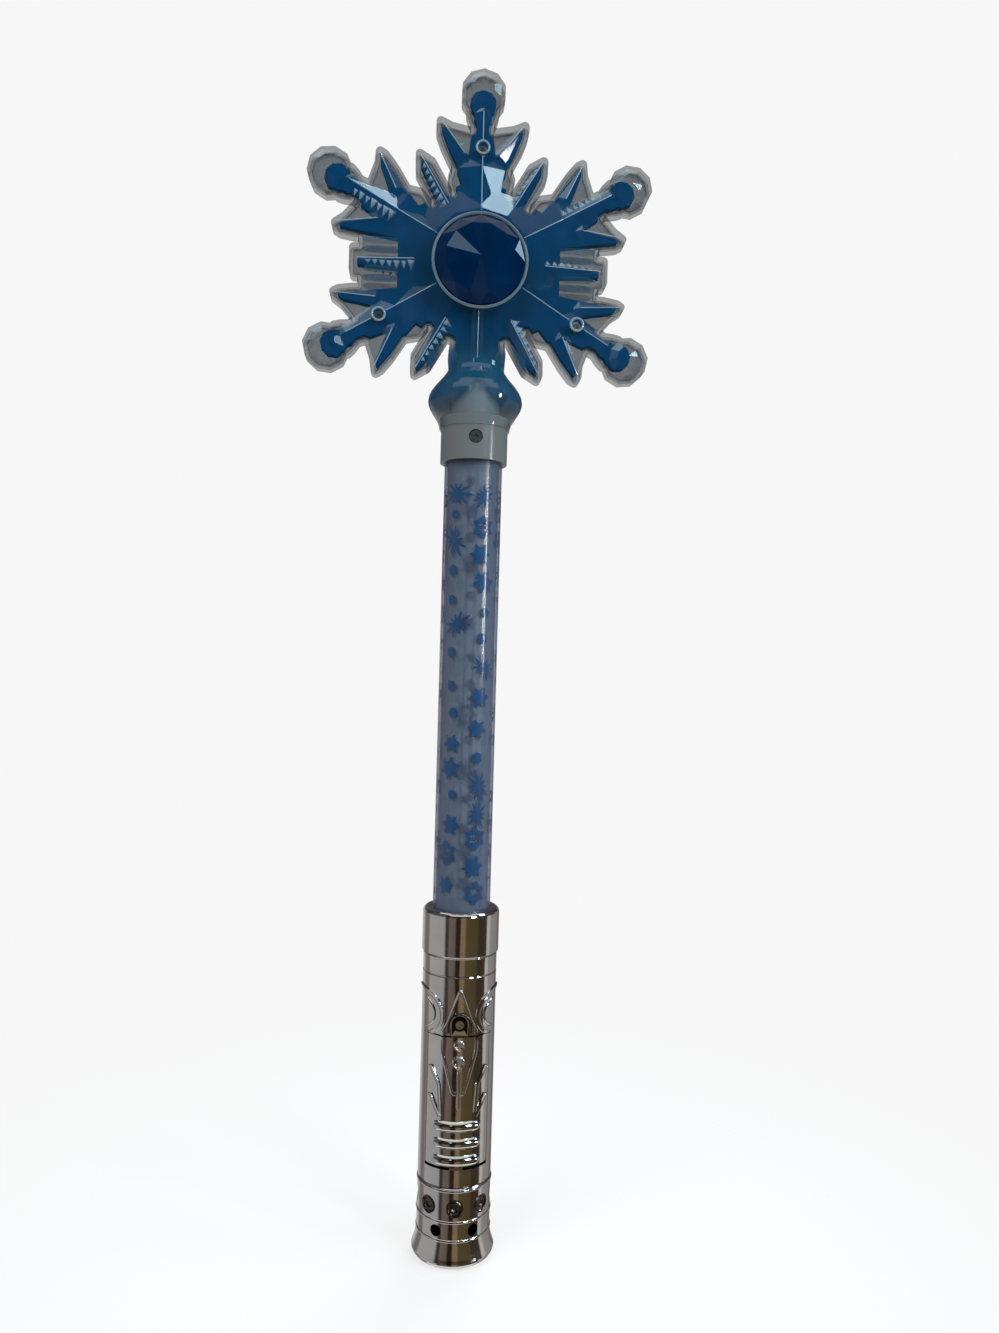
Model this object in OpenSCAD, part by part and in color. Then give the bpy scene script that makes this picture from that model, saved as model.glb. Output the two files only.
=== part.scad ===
// A light-up toy wand: a clear snowflake head on a printed tube, above a plated handle that holds
// three AAA cells. It stands on its foot along +Z. The battery door and the head screws face -Y.
// All lengths are in millimetres.

/* [Cells] */
// Radius of one cell
cell_r = 5.25; // [5:0.05:5.6]
// Length of one cell with its nub
cell_len = 44.5; // [42:0.5:48]
// Height of a contact spring under a cell
spring_h = 4.1; // [3.6:0.1:6]

/* [Handle] */
// Wall of the plated half shells
barrel_wall = 1.8; // [1.5:0.1:2.6]
// Height of the foot
pommel_h = 29.5; // [27:0.5:36]
// Radius of the flared foot
foot_r = 15.75; // [15:0.25:18]
// Wall of the foot
pommel_wall = 2; // [1.6:0.1:2.6]
// Plain length between the foot and the door
door_lift = 8.1; // [7.5:0.1:14]
// Length between the door and the top ring
door_head = 29.2; // [28:0.2:40]
// Height of the top ring
ferrule_h = 16.7; // [14:0.1:24]
// Wall of the top ring
ferrule_wall = 1.9; // [1.4:0.1:2.6]
// Half of the angle that the door spans
door_half_angle = 54; // [45:1:57]
// Wall of the door
door_wall = 1.6; // [1.3:0.1:2]
// Radius of the cord holes in the foot
cord_hole_r = 2.2; // [1.6:0.1:2.4]
// Angle of each cord hole from the front
cord_hole_angle = 30; // [25:1:40]
// Number of round recesses around the foot
recess_count = 8; // [5:1:8]
// Number of ribs on the door
rib_count = 3; // [1:1:3]

/* [Button] */
// Radius of the button
button_r = 4.8; // [4:0.1:5.5]
// Height of the button above the grip
button_stand = 1.6; // [1.2:0.1:2.5]
// Travel of the button
button_travel = 1.2; // [0.6:0.1:1.4]

/* [Shaft] */
// Outer radius of the tube
tube_r = 11; // [10:0.1:12]
// Wall of the tube
tube_wall = 1.1; // [0.9:0.1:1.6]
// Length of tube that shows between handle and collar
tube_show = 168.9; // [120:0.5:240]
// Wall of the collar
collar_wall = 1.65; // [1.5:0.05:2.2]
// Length of collar below the head
collar_show = 12.8; // [12:0.2:18]

/* [Head] */
// Height of the flake's centre above the collar's lower edge
flake_rise = 75; // [70:0.5:90]
// Length of an arm from the centre to the middle of its ball
flake_arm = 66; // [60:0.5:76]
// Radius of an arm's ball
ball_r = 8.6; // [7:0.1:10]
// Half thickness of the flake's plate at its edge
plate_d = 4.4; // [4:0.1:6]
// Half thickness of the head at the stone's rim
hub_d = 9.2; // [8.6:0.1:12]
// Radius of the stone
gem_r = 17; // [15:0.25:18]
// Height of the stone's cut above its girdle
gem_rise = 4.6; // [3:0.1:9]
// Number of cuts around the stone
gem_cuts = 12; // [8:1:16]
// Wall between the flake's edge and the insert's pocket
rim_wall = 1.5; // [1.2:0.1:1.8]
// Half thickness of the blue insert
insert_d = 1.7; // [1.2:0.1:2]
// Radius of the bell at the head's foot
skirt_r = 18; // [17:0.25:21]

/* [Hidden] */
$fn = 96;

// Clearances and the overrun that every cut shares
fit = 0.1;
slip = 0.15;
free_gap = 0.3;
overrun = 1;
edge = 0.5;

// Cells, contacts and the bay that holds them
cell_gap = 0.2;
bay_clear = 0.77;
contact_t = 0.4;
nub_r = 1.9;
nub_h = 1;
door_lap = 0.8;
disc_t = 1.6;
cell_orbit = (2 * cell_r + cell_gap) / sqrt(3);
bay_r = cell_orbit + cell_r + bay_clear;
bay_len = cell_len + spring_h + 2 * contact_t + 2 * fit;
cell_angles = [210, 330, 450];
nub_up = [true, false, true];
spring_turns = 3;
spring_wire_r = 0.3;
spring_top_r = 2.2;
spring_foot_r = 3.4;
contact_r = 3.8;
bridge_w = 3;
disc_front = 9.3;
rail_r = 1.5;
rail_inset = 0.4;

// Handle radii
grip_r = bay_r + barrel_wall;
tube_bore_r = tube_r + fit;
spigot_wall = 1.5;
spigot_r = tube_bore_r + spigot_wall;
ferrule_bore_r = spigot_r + fit;
ferrule_r = ferrule_bore_r + ferrule_wall;
ferrule_round = 2;
pommel_bore_r = grip_r - pommel_wall;
low_spigot_r = pommel_bore_r - fit;
low_inner_r = low_spigot_r - spigot_wall;
stop_step = 1;
stop_r = tube_r - tube_wall - stop_step;

// Handle heights
door_len = bay_len - 2 * door_lap;
z_door0 = pommel_h + door_lift;
z_door1 = z_door0 + door_len;
z_bay0 = z_door0 - door_lap;
z_bay1 = z_door1 + door_lap;
z_grip1 = z_door1 + door_head;
z_handle = z_grip1 + ferrule_h;
stop_t = 2.2;
shoulder_t = 2;
low_spigot_h = 9;
ferrule_lip = 1.6;
z_spigot = z_handle - ferrule_lip - fit;

// Foot
foot_floor = 3;
foot_round = 2.6;
flare_h = 11;
flare_steps = 8;
round_steps = 6;
bead_r = 0.6;
bead_sink = 0.25;
bead_shares = [0.34, 0.576, 0.968];
recess_z = 22.2;
recess_r = 3.4;
recess_ring_r = 2.2;
recess_land_r = 1.5;
recess_depth = 1;
recess_step = 0.45;
cord_hole_z = 13.5;

// Door
slit = 1.1;
door_top_gap = 0.55;
side_gap_angle = free_gap / grip_r * 180 / PI;
door_half_w = grip_r * sin(door_half_angle);
relief_h = 0.55;
relief_sink = 0.3;
hook_w = 5;
hook_t = 1;
hook_drop = 2.2;
hook_root = 2.4;
hook_reach = 1.7;
tongue_w = 3.2;
tongue_t = 1.5;
tongue_sink = 1.2;
tongue_root = 4;
screw_lift = 4.6;
z_screw = z_door1 + screw_lift;
pocket_floor_t = 1.6;
pocket_floor_w = 7.5;
pocket_top = 5.4;
boss_r = 2.6;
boss_bore_r = 1.75;
boss_len = 6;
door_screw_head_r = 2.4;
door_screw_head_h = 1;
door_screw_r = 1.15;
door_screw_len = 5.2;
drive_w = 0.7;
drive_depth = 0.5;

// Relief on the door and the barrel
kite_w = 7;
kite_top = 17;
kite_bottom = 21.4;
kite_line = 1.1;
kite_shares = [[0.72, 0.3], [1, 0.1], [1, -0.3]];
kite_foot_share = 0.34;
boss_ring_z = 2.9;
boss_ring_r = 2;
eye_z = 9.2;
eye_r = 2.4;
ring_line = 0.7;
spine_w = 0.8;
rib_pitch = 6.3;
rib_w = 17;
rib_h = 3;
rib_stand = 0.7;
rib_lift = 2.2;
// Feather lines as shares of the door's half width and of its length, down from its top
feather_shares = [
  [[0.93, 0.24], [0.655, 0.37]], [[0.655, 0.37], [0.587, 0.59]], [[0.93, 0.46], [0.587, 0.63]]
];
crescent_r = 9;
crescent_bite_r = 8.6;
crescent_shift = 1.4;
crescent_x = 15.2;
crescent_lift = 7.6;
groove_r = 0.45;
groove_drop = 7.1;

// Button and board
button_drop = 15;
z_button = z_grip1 - button_drop;
button_round = 0.8;
button_flange = 1;
button_flange_t = 1.2;
bezel_ring = 1.8;
bezel_stand = 0.5;
bezel_sink = 4.2;
board_y = 0.7;
board_t = 1.2;
board_w = 17;
switch_w = 6;
switch_h = 3.5;
plunger_r = 1.7;
plunger_seat = 1;
plunger_depth = plunger_seat + button_travel + free_gap;
chip_w = 6;
chip_h = 4;
chip_t = 1.2;
chip_drop = 6.4;
led_r = 2.5;
led_flange_r = 2.9;
led_flange_t = 1;
led_stand = 5;
wire_r = 0.6;
wire_x = 1.6;
wire_y = 2.5;
terminal_w = 7;
terminal_h = 4;
board_z0 = z_bay1 + disc_t + slip;
board_z1 = z_grip1 - stop_t - slip;
board_back = board_y + board_t;
button_in = grip_r - bezel_sink - free_gap - button_flange_t;

// Shaft and collar
liner_t = 0.4;
liner_gap = 0.15;
collar_r = tube_bore_r + collar_wall;
collar_bore_h = 13.6;
flange_step = 0.65;
flange_h = 16.8;
plug_r = 9.5;
plug_h = 29.2;
way_r = 4;
collar_screw_z = 8.2;
collar_screw_hole_r = 2.6;
collar_screw_head_r = 2.3;
collar_screw_head_h = 1.2;
collar_screw_r = 1.1;
collar_screw_len = 3.5;
z_tube0 = z_grip1 + fit;
z_collar = z_handle + tube_show;
z_tube1 = z_collar + collar_bore_h - slip;
liner_r = tube_r - tube_wall - liner_gap;

// Head
z_flake = z_collar + flake_rise;
lip_t = 0.55;
bell_rise = 10.8;
bell_fall = 14.4;
neck_r = 10.1;
bell_steps = 8;
pocket_d = insert_d + fit;
well_r = 11.5;
board_r = 12.6;
ledge_r = 14.2;
head_board_d = 0.6;
gem_base = 2;
gem_collar = 0.3;
gem_tier_share = 0.78;
gem_tier_rise_share = 0.5;
bezel_t = 1.2;
bezel_h = 1.4;
bezel_proud = 0.5;
hub_foot_share = 0.47;
hub_foot_r = hub_foot_share * flake_arm;
hub_rim = 1.4;
hub_top_r = gem_r + bezel_t + hub_rim;
roof_sink = 0.6;
ball_sides = 10;
ball_shares = [[1, 0], [0.97, 0.26], [0.8, 0.62], [0.46, 0.9], [0, 1]];
arm_angles = [90, 150, 30, 210, 330];
screw_angles = [90, 210, 330];
screw_orbit_share = 0.6545;
screw_orbit = screw_orbit_share * flake_arm;
screw_boss_r = 2.8;
screw_boss_d = 7.4;
screw_sink_r = 1.95;
screw_seat = 3.2;
screw_hole_r = 1.35;
screw_r = 1.05;
screw_pilot = 5;
screw_head_h = 1.3;
head_led_orbit = 6;
head_led_r = 1.5;
head_led_h = 1.4;
groove_d = 3.8;
groove_w = 2.4;
pad_r = 0.9;
pad_z = 8;
web_w_share = 0.1667;
web_w = web_w_share * flake_arm;

// Outlines of the flake as shares of the arm's length, along the arm and across it
arm_shares = [
  [0.3, 0.125], [0.5, 0.195], [0.57, 0.171], [0.7, 0.238], [0.78, 0.268], [0.853, 0.268],
  [0.81, 0.174], [0.79, 0.07], [0.82, 0.066], [0.86, 0.085], [0.93, 0.105]
];
crystal_shares = [[0.36, 0.066], [0.65, 0.064], [0.767, 0]];
web_shares = [0.45, 0.695];
lobe_shares = [0.745, 0.087];
neck_shares = [[0.3, 0.14], [0.51, 0.165]];
// Rounding of the outline's tips
tip_round_share = 0.0258;
tip_round = tip_round_share * flake_arm;
// Ridges as place along the arm, place across it, half width, and height as a share of the hub's
blade_shares = [[0.27, 0, 0.112, 0.94], [0.55, 0, 0.16, 0.78]];
stem_shares = [[0.55, 0, 0.1, 0.78], [0.87, 0, 0.062, 0.7]];
barb_shares = [[0.62, 0.1, 0.06, 0.68], [0.812, 0.237, 0.012, 0.53]];
ridge_shares = [[0.36, 0, 0.066, 0.78], [0.705, 0, 0.016, 0.53]];
// The insert's kite arms and ball patches
kite_arm_shares = [[0.3, 0.16], [0.6, 0.085], [0.92, 0.045]];
patch_share = 0.95;
patch_r_share = 0.6;
insert_margin = 2.1;
// The insert's wedges as place along the arm, place across it and half width
barb_wedge_shares = [[0.42, 0, 0.085], [0.8, 0.226, 0.012]];
crystal_wedge_shares = [[0.36, 0, 0.036], [0.7, 0, 0.018]];

// Placing and revolving

module revolve(points, angle = 360) rotate_extrude(angle = angle) polygon(points);

module front_turn(angle = 0) rotate([0, 0, angle]) rotate([90, 0, 0]) children();

module at_front(z, y, angle = 0) translate([0, 0, z]) front_turn(angle) translate([0, 0, y]) children();

module at_back(z, y) translate([0, y, z]) rotate([-90, 0, 0]) children();

module flake_frame() translate([0, 0, z_flake]) rotate([90, 0, 0]) children();

module back_side() mirror([0, 1, 0]) children();

module lines(from, to, width) {
  way = to - from;
  side = [-way[1], way[0]] / norm(way) * width / 2;
  polygon([from - side, to - side, to + side, from + side]);
}

function mirrored(points) = concat(points, [for (i = [len(points) - 1:-1:0]) [points[i][0], -points[i][1]]]);

// Flake outline, in the plane of the flake with an arm along x

module arm_outline() polygon(mirrored(arm_shares * flake_arm));

module flake_balls() for (angle = arm_angles) rotate(angle) translate([flake_arm, 0])
  circle(r = ball_r, $fn = ball_sides);

module crystal_outline() polygon(mirrored(crystal_shares * flake_arm));

module web_outline() {
  x0 = web_shares[0] * flake_arm;
  x1 = web_shares[1] * flake_arm;
  lobe = lobe_shares * flake_arm;
  polygon([[x0, -web_w], [x1, -web_w], [x1, web_w], [x0, web_w]]);
  polygon([[x0, -lobe[1]], [lobe[0], -lobe[1]], lobe, [x0, lobe[1]]]);
}

module neck_outline() {
  end = [flake_rise - collar_show - bell_rise - bell_fall / 2, neck_r];
  polygon(mirrored(concat(neck_shares * flake_arm, [end])));
}

module flake_plan() {
  circle(r = hub_foot_r, $fn = gem_cuts);
  for (angle = arm_angles) rotate(angle) arm_outline();
  for (i = [0:5]) rotate(60 * i) crystal_outline();
  for (angle = [0, 180]) rotate(angle) web_outline();
  rotate(270) neck_outline();
}

module flake_outline() {
  offset(r = tip_round, $fn = 16) offset(delta = -tip_round) flake_plan();
  flake_balls();
}

module flake_inside(inset) offset(delta = -inset, chamfer = true) {
  flake_plan();
  flake_balls();
}

// A roof ridge that runs between two places and ends in points

module ridge(places) {
  from = [places[0][0], places[0][1]] * flake_arm;
  to = [places[1][0], places[1][1]] * flake_arm;
  way = (to - from) / norm(to - from);
  half = [places[0][2] * flake_arm, places[1][2] * flake_arm];
  side = [-way[1], way[0]];
  foot = [from - way * half[0], from - side * half[0], to - side * half[1],
    to + way * half[1], to + side * half[1], from + side * half[0]];
  base = plate_d - roof_sink;
  points = concat([for (p = foot) [p[0], p[1], base]],
    [[from[0], from[1], places[0][3] * hub_d], [to[0], to[1], places[1][3] * hub_d]]);
  polyhedron(points = points, faces = [[0, 1, 2, 3, 4, 5], [1, 6, 7], [1, 7, 2], [4, 7, 6], [4, 6, 5],
    [0, 6, 1], [5, 6, 0], [2, 7, 3], [3, 7, 4]]);
}

module ball_half() {
  profile = concat([[0, 0]], ball_shares * ball_r);
  translate([flake_arm, 0, 0]) rotate_extrude($fn = ball_sides) polygon(profile);
}

module roofs() {
  for (angle = concat(arm_angles, [270])) rotate(angle) ridge(blade_shares);
  for (angle = arm_angles) rotate(angle) {
    ridge(stem_shares);
    for (side = [0, 1]) mirror([0, side, 0]) ridge(barb_shares);
    ball_half();
  }
  for (i = [0:5]) rotate(60 * i) ridge(ridge_shares);
}

// Bell at the foot of the head, as radius and height above the collar's lower edge

function swing(from, to, share) = from + (to - from) * (1 - cos(180 * share)) / 2;

function bell_profile() = let (lip = collar_r + fit + lip_t, top = collar_show + bell_rise) concat(
  [[0, collar_show]],
  [for (i = [0:bell_steps]) [swing(lip, skirt_r, i / bell_steps), collar_show + bell_rise * i / bell_steps]],
  [for (i = [1:bell_steps]) [swing(skirt_r, neck_r, i / bell_steps), top + bell_fall * i / bell_steps]],
  [[0, top + bell_fall]]
);

function collar_outer(gap) = [
  [0, -overrun], [collar_r + gap, -overrun], [collar_r + gap, collar_show + edge],
  [collar_r + flange_step + gap, flange_h - edge], [collar_r + flange_step + gap, flange_h + gap],
  [plug_r + gap, flange_h + gap], [plug_r + gap, plug_h + gap], [0, plug_h + gap]
];

module on_stem() translate([0, -flake_rise, 0]) rotate([-90, 0, 0]) children();

module head_half() difference() {
  union() {
    linear_extrude(plate_d) flake_outline();
    translate([0, 0, plate_d - roof_sink])
      cylinder(r1 = hub_foot_r, r2 = hub_top_r, h = hub_d - plate_d + roof_sink, $fn = gem_cuts);
    roofs();
    on_stem() rotate([0, 0, 180]) rotate_extrude(angle = 180, $fn = 48) polygon(bell_profile());
    children();
  }
  translate([0, 0, -overrun]) difference() {
    linear_extrude(pocket_d + overrun) flake_inside(rim_wall);
    translate([0, 0, head_board_d + fit + overrun]) cylinder(r = ledge_r, h = pocket_d, $fn = 48);
  }
  translate([0, 0, -overrun]) cylinder(r = well_r, h = hub_d + overrun, $fn = 48);
  translate([0, 0, -overrun]) cylinder(r = board_r + slip, h = head_board_d + fit + overrun, $fn = 48);
  translate([0, 0, hub_d - gem_base]) cylinder(r = gem_r + fit, h = hub_d, $fn = 48);
  translate([0, 0, hub_d - bezel_h + bezel_proud]) cylinder(r = gem_r + bezel_t + fit, h = hub_d, $fn = 48);
  translate([-groove_w, -flake_rise + plug_h, -overrun])
    cube([2 * groove_w, flake_rise - plug_h - pad_z, groove_d + overrun]);
  on_stem() rotate_extrude($fn = 48) polygon(collar_outer(fit));
}

module head_front_shell() color([0.62, 0.66, 0.7, 0.6]) flake_frame() difference() {
  head_half() for (angle = screw_angles) rotate(angle) translate([screw_orbit, 0, 0])
    cylinder(r = screw_boss_r, h = screw_boss_d, $fn = 32);
  for (angle = screw_angles) rotate(angle) translate([screw_orbit, 0, 0]) {
    translate([0, 0, screw_seat]) cylinder(r = screw_sink_r, h = screw_boss_d, $fn = 32);
    translate([0, 0, -overrun]) cylinder(r = screw_hole_r, h = screw_seat + 2 * overrun, $fn = 32);
  }
}

module head_back_shell() color([0.62, 0.66, 0.7, 0.6]) back_side() flake_frame() difference() {
  head_half();
  for (angle = screw_angles) rotate(angle) translate([screw_orbit, 0, -overrun])
    cylinder(r = screw_r + fit, h = screw_pilot + overrun, $fn = 32);
}

module insert_zone() {
  rotate(30) circle(r = hub_foot_r / cos(30), $fn = 6);
  for (angle = concat(arm_angles, [270])) rotate(angle) polygon(mirrored(kite_arm_shares * flake_arm));
  for (angle = arm_angles) rotate(angle) {
    translate([patch_share * flake_arm, 0]) circle(r = patch_r_share * ball_r, $fn = ball_sides);
    for (side = [0, 1]) mirror([0, side]) wedge(barb_wedge_shares);
  }
  for (i = [0:5]) rotate(60 * i) wedge(crystal_wedge_shares);
}

// A strip of the insert that tapers between two places

module wedge(places) {
  from = [places[0][0], places[0][1]] * flake_arm;
  to = [places[1][0], places[1][1]] * flake_arm;
  way = (to - from) / norm(to - from);
  root = [-way[1], way[0]] * places[0][2] * flake_arm;
  tip = [-way[1], way[0]] * places[1][2] * flake_arm;
  polygon([from - root, to - tip, to + tip, from + root]);
}

module flake_insert() color([0.02, 0.2, 0.42]) flake_frame() translate([0, 0, -insert_d])
  linear_extrude(2 * insert_d) difference() {
    intersection() {
      flake_inside(insert_margin);
      insert_zone();
    }
    circle(r = ledge_r + slip);
    for (angle = screw_angles) rotate(angle) translate([screw_orbit, 0]) circle(r = screw_hole_r);
    rotate(270) translate([flake_rise - plug_h - slip, -skirt_r]) square([skirt_r, 2 * skirt_r]);
  }

// A rose-cut stone: a girdle, a turned middle tier and a point

function ring_points(count, radius, height, turn) =
  [for (i = [0:count - 1]) let (a = 360 * (i + turn) / count) [radius * cos(a), radius * sin(a), height]];

module gem() {
  n = gem_cuts;
  h0 = hub_d - gem_base + fit;
  h1 = hub_d + gem_collar;
  points = concat(
    ring_points(n, gem_r, h0, 0), ring_points(n, gem_r, h1, 0),
    ring_points(n, gem_r * gem_tier_share, h1 + gem_rise * gem_tier_rise_share, 0.5),
    [[0, 0, h1 + gem_rise], [0, 0, h0]]
  );
  faces = [for (i = [0:n - 1]) let (j = (i + 1) % n) each [
    [i, 3 * n + 1, j], [i, j, n + j], [i, n + j, n + i],
    [n + i, n + j, 2 * n + i], [n + j, 2 * n + j, 2 * n + i], [2 * n + i, 2 * n + j, 3 * n]
  ]];
  polyhedron(points = points, faces = [for (f = faces) [f[0], f[2], f[1]]]);
}

module front_gem() color([0.03, 0.05, 0.2]) flake_frame() gem();

module back_gem() color([0.03, 0.05, 0.2]) back_side() flake_frame() gem();

module bezel() {
  r0 = gem_r + fit;
  r1 = gem_r + bezel_t;
  top = hub_d + bezel_proud;
  low = hub_d - bezel_h + bezel_proud;
  revolve([[r0, low], [r1, low], [r1, top - edge], [(r0 + r1) / 2, top], [r0, top - edge]]);
}

module front_bezel() color([0.8, 0.83, 0.86]) flake_frame() bezel();

module back_bezel() color([0.8, 0.83, 0.86]) back_side() flake_frame() bezel();

module head_screws() color([0.5, 0.5, 0.52]) flake_frame()
  for (angle = screw_angles) rotate(angle) translate([screw_orbit, 0, 0]) difference() {
    union() {
      translate([0, 0, screw_seat]) cylinder(r = screw_sink_r - fit, h = screw_head_h);
      translate([0, 0, -screw_pilot + fit]) cylinder(r = screw_r, h = screw_seat + screw_pilot);
    }
    for (turn = [0, 90]) rotate(turn)
      translate([-screw_r, -drive_w / 2, screw_seat + screw_head_h - drive_depth])
        cube([2 * screw_r, drive_w, drive_depth + overrun]);
  }

module head_led_board() color([0.85, 0.87, 0.85]) flake_frame() {
  translate([0, 0, -head_board_d]) cylinder(r = board_r, h = 2 * head_board_d);
  for (x = [-wire_x, wire_x]) translate([x, -pad_z, head_board_d])
    cylinder(r = pad_r, h = wire_y - wire_r - fit - head_board_d);
}

module led(radius, height) revolve(concat(
  [[0, 0], [radius, 0]],
  [for (i = [0:round_steps - 1]) let (a = 90 * i / round_steps) [radius * cos(a), height + radius * sin(a)]],
  [[0, height + radius * sin(90 - 90 / round_steps)]]
));

module head_leds() color([0.9, 0.93, 0.98]) flake_frame()
  for (side = [0, 1], angle = screw_angles) mirror([0, 0, side]) rotate(angle)
    translate([head_led_orbit, 0, head_board_d]) led(head_led_r, head_led_h);

// Collar, tube and leads

module collar() color([0.74, 0.78, 0.82]) translate([0, 0, z_collar]) difference() {
  intersection() {
    revolve(collar_outer(0));
    cylinder(r = skirt_r, h = flake_rise);
  }
  translate([0, 0, -overrun]) cylinder(r = tube_bore_r, h = collar_bore_h + overrun);
  cylinder(r = way_r, h = flake_rise);
  at_front(collar_screw_z, 0) cylinder(r = collar_screw_hole_r, h = skirt_r);
}

module collar_screw() color([0.45, 0.46, 0.48]) at_front(z_collar + collar_screw_z, 0) difference() {
  union() {
    translate([0, 0, tube_r + fit]) cylinder(r = collar_screw_head_r, h = collar_screw_head_h);
    translate([0, 0, tube_r - collar_screw_len]) cylinder(r = collar_screw_r, h = collar_screw_len + 2 * fit);
  }
  for (turn = [0, 90]) rotate(turn)
    translate([-collar_screw_r, -drive_w / 2, tube_r + fit + collar_screw_head_h - drive_depth])
      cube([2 * collar_screw_r, drive_w, drive_depth + overrun]);
}

module pipe(outer, inner, z0, z1) difference() {
  translate([0, 0, z0]) cylinder(r = outer, h = z1 - z0);
  translate([0, 0, z0 - overrun]) cylinder(r = inner, h = z1 - z0 + 2 * overrun);
  at_front(z_collar + collar_screw_z, 0) cylinder(r = collar_screw_r + slip, h = skirt_r);
}

module shaft_tube() color([0.7, 0.74, 0.82, 0.6]) pipe(tube_r, tube_r - tube_wall, z_tube0, z_tube1);

module print_liner() color([0.25, 0.42, 0.68]) pipe(liner_r, liner_r - liner_t, z_tube0 + fit, z_tube1 - fit);

module lead_wires() color([0.75, 0.12, 0.1]) for (x = [-wire_x, wire_x])
  translate([x, -wire_y, board_z1 - terminal_h])
    cylinder(r = wire_r, h = z_flake - pad_z - board_z1 + terminal_h);

module tube_led() color([0.88, 0.92, 0.98]) translate([0, board_y + board_t / 2, board_z1 + fit]) {
  cylinder(r = led_flange_r, h = led_flange_t);
  led(led_r, led_stand);
}

// Handle

module ferrule() {
  corner = [ferrule_r - ferrule_round, z_handle - ferrule_round];
  color([0.72, 0.73, 0.76]) revolve(concat(
    [[ferrule_bore_r, z_grip1], [ferrule_r - edge, z_grip1], [ferrule_r, z_grip1 + edge]],
    [for (i = [0:round_steps]) let (a = 90 * i / round_steps) corner + ferrule_round * [cos(a), sin(a)]],
    [[tube_r + slip, z_handle], [tube_r + slip, z_handle - ferrule_lip]],
    [[ferrule_bore_r, z_handle - ferrule_lip]]
  ));
}

module barrel_half() difference() {
  revolve([
    [low_inner_r, pommel_h - low_spigot_h], [low_spigot_r, pommel_h - low_spigot_h], [low_spigot_r, pommel_h],
    [grip_r - edge, pommel_h], [grip_r, pommel_h + edge], [grip_r, z_grip1 - edge], [grip_r - edge, z_grip1],
    [spigot_r, z_grip1], [spigot_r, z_spigot], [tube_bore_r, z_spigot], [tube_bore_r, z_grip1],
    [stop_r, z_grip1], [stop_r, z_grip1 - stop_t], [bay_r, z_grip1 - stop_t], [bay_r, pommel_h + shoulder_t],
    [low_inner_r, pommel_h + shoulder_t]
  ], 180);
  rotate_extrude() translate([grip_r, z_grip1 - groove_drop]) circle(r = groove_r);
}

// A raised pattern on the grip, drawn as x and height, that stands a little proud of the barrel

module relief(stand) intersection() {
  difference() {
    cylinder(r = grip_r + stand, h = z_grip1);
    translate([0, 0, -overrun]) cylinder(r = grip_r - relief_sink, h = z_grip1 + 2 * overrun);
  }
  rotate([90, 0, 0]) linear_extrude(grip_r + overrun) children();
}

module kite(inset) {
  w = kite_w - inset;
  top = kite_top - 2 * inset;
  sides = [for (s = kite_shares) [s[0] * w, z_door1 + s[1] * kite_top]];
  foot = [kite_foot_share * kite_w - inset / 2, z_door1 - kite_bottom + inset];
  right = concat(sides, [foot]);
  polygon(concat([[0, z_door1 + top]], right, [for (i = [len(right) - 1:-1:0]) [-right[i][0], right[i][1]]]));
}

module kite_frame() difference() {
  kite(0);
  kite(kite_line);
}

module arch(width, base, centre) {
  translate([0, centre]) circle(r = width);
  translate([-width, base]) square([2 * width, centre - base]);
}

module crescents() for (side = [-1, 1]) translate([side * crescent_x, z_door1 + crescent_lift]) difference() {
  circle(r = crescent_r);
  translate([side * crescent_shift, 0]) circle(r = crescent_bite_r);
}

module door_slot() {
  span = 2 * (door_half_angle + side_gap_angle);
  translate([0, 0, z_door0 - slit]) rotate([0, 0, 270 - span / 2]) rotate_extrude(angle = span)
    translate([low_inner_r, 0]) square([grip_r, door_len + slit + door_top_gap]);
  rotate([90, 0, 0]) linear_extrude(2 * grip_r) arch(tongue_w + free_gap, z_door1, z_screw);
}

module barrel_front() color([0.66, 0.67, 0.7]) difference() {
  union() {
    difference() {
      union() {
        rotate([0, 0, 180]) barrel_half();
        relief(relief_h) difference() {
          union() {
            kite_frame();
            crescents();
          }
          translate([-foot_r, 0]) square([2 * foot_r, z_door1]);
        }
      }
      door_slot();
    }
    pocket_seat();
  }
  at_front(z_screw, 0) cylinder(r = boss_bore_r, h = grip_r);
}

// The floor of the screw pocket and the boss behind it

module pocket_seat() {
  face = grip_r - tongue_sink - tongue_t - free_gap;
  floor_z0 = z_bay1 + disc_t + slip;
  intersection() {
    translate([-pocket_floor_w, -face, floor_z0])
      cube([2 * pocket_floor_w, pocket_floor_t, z_screw + pocket_top - floor_z0]);
    cylinder(r = grip_r - edge, h = z_grip1);
  }
  intersection() {
    at_front(z_screw, face - boss_len) cylinder(r = boss_r, h = boss_len);
    translate([-grip_r, -grip_r, floor_z0]) cube([2 * grip_r, grip_r, z_grip1 - floor_z0]);
  }
}

module barrel_back() color([0.66, 0.67, 0.7]) difference() {
  union() {
    barrel_half();
    at_back(z_button, grip_r - bezel_sink) cylinder(r = button_r + bezel_ring, h = bezel_sink + bezel_stand);
  }
  at_back(z_button, 0) cylinder(r = button_r + free_gap, h = 2 * grip_r);
}

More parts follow.
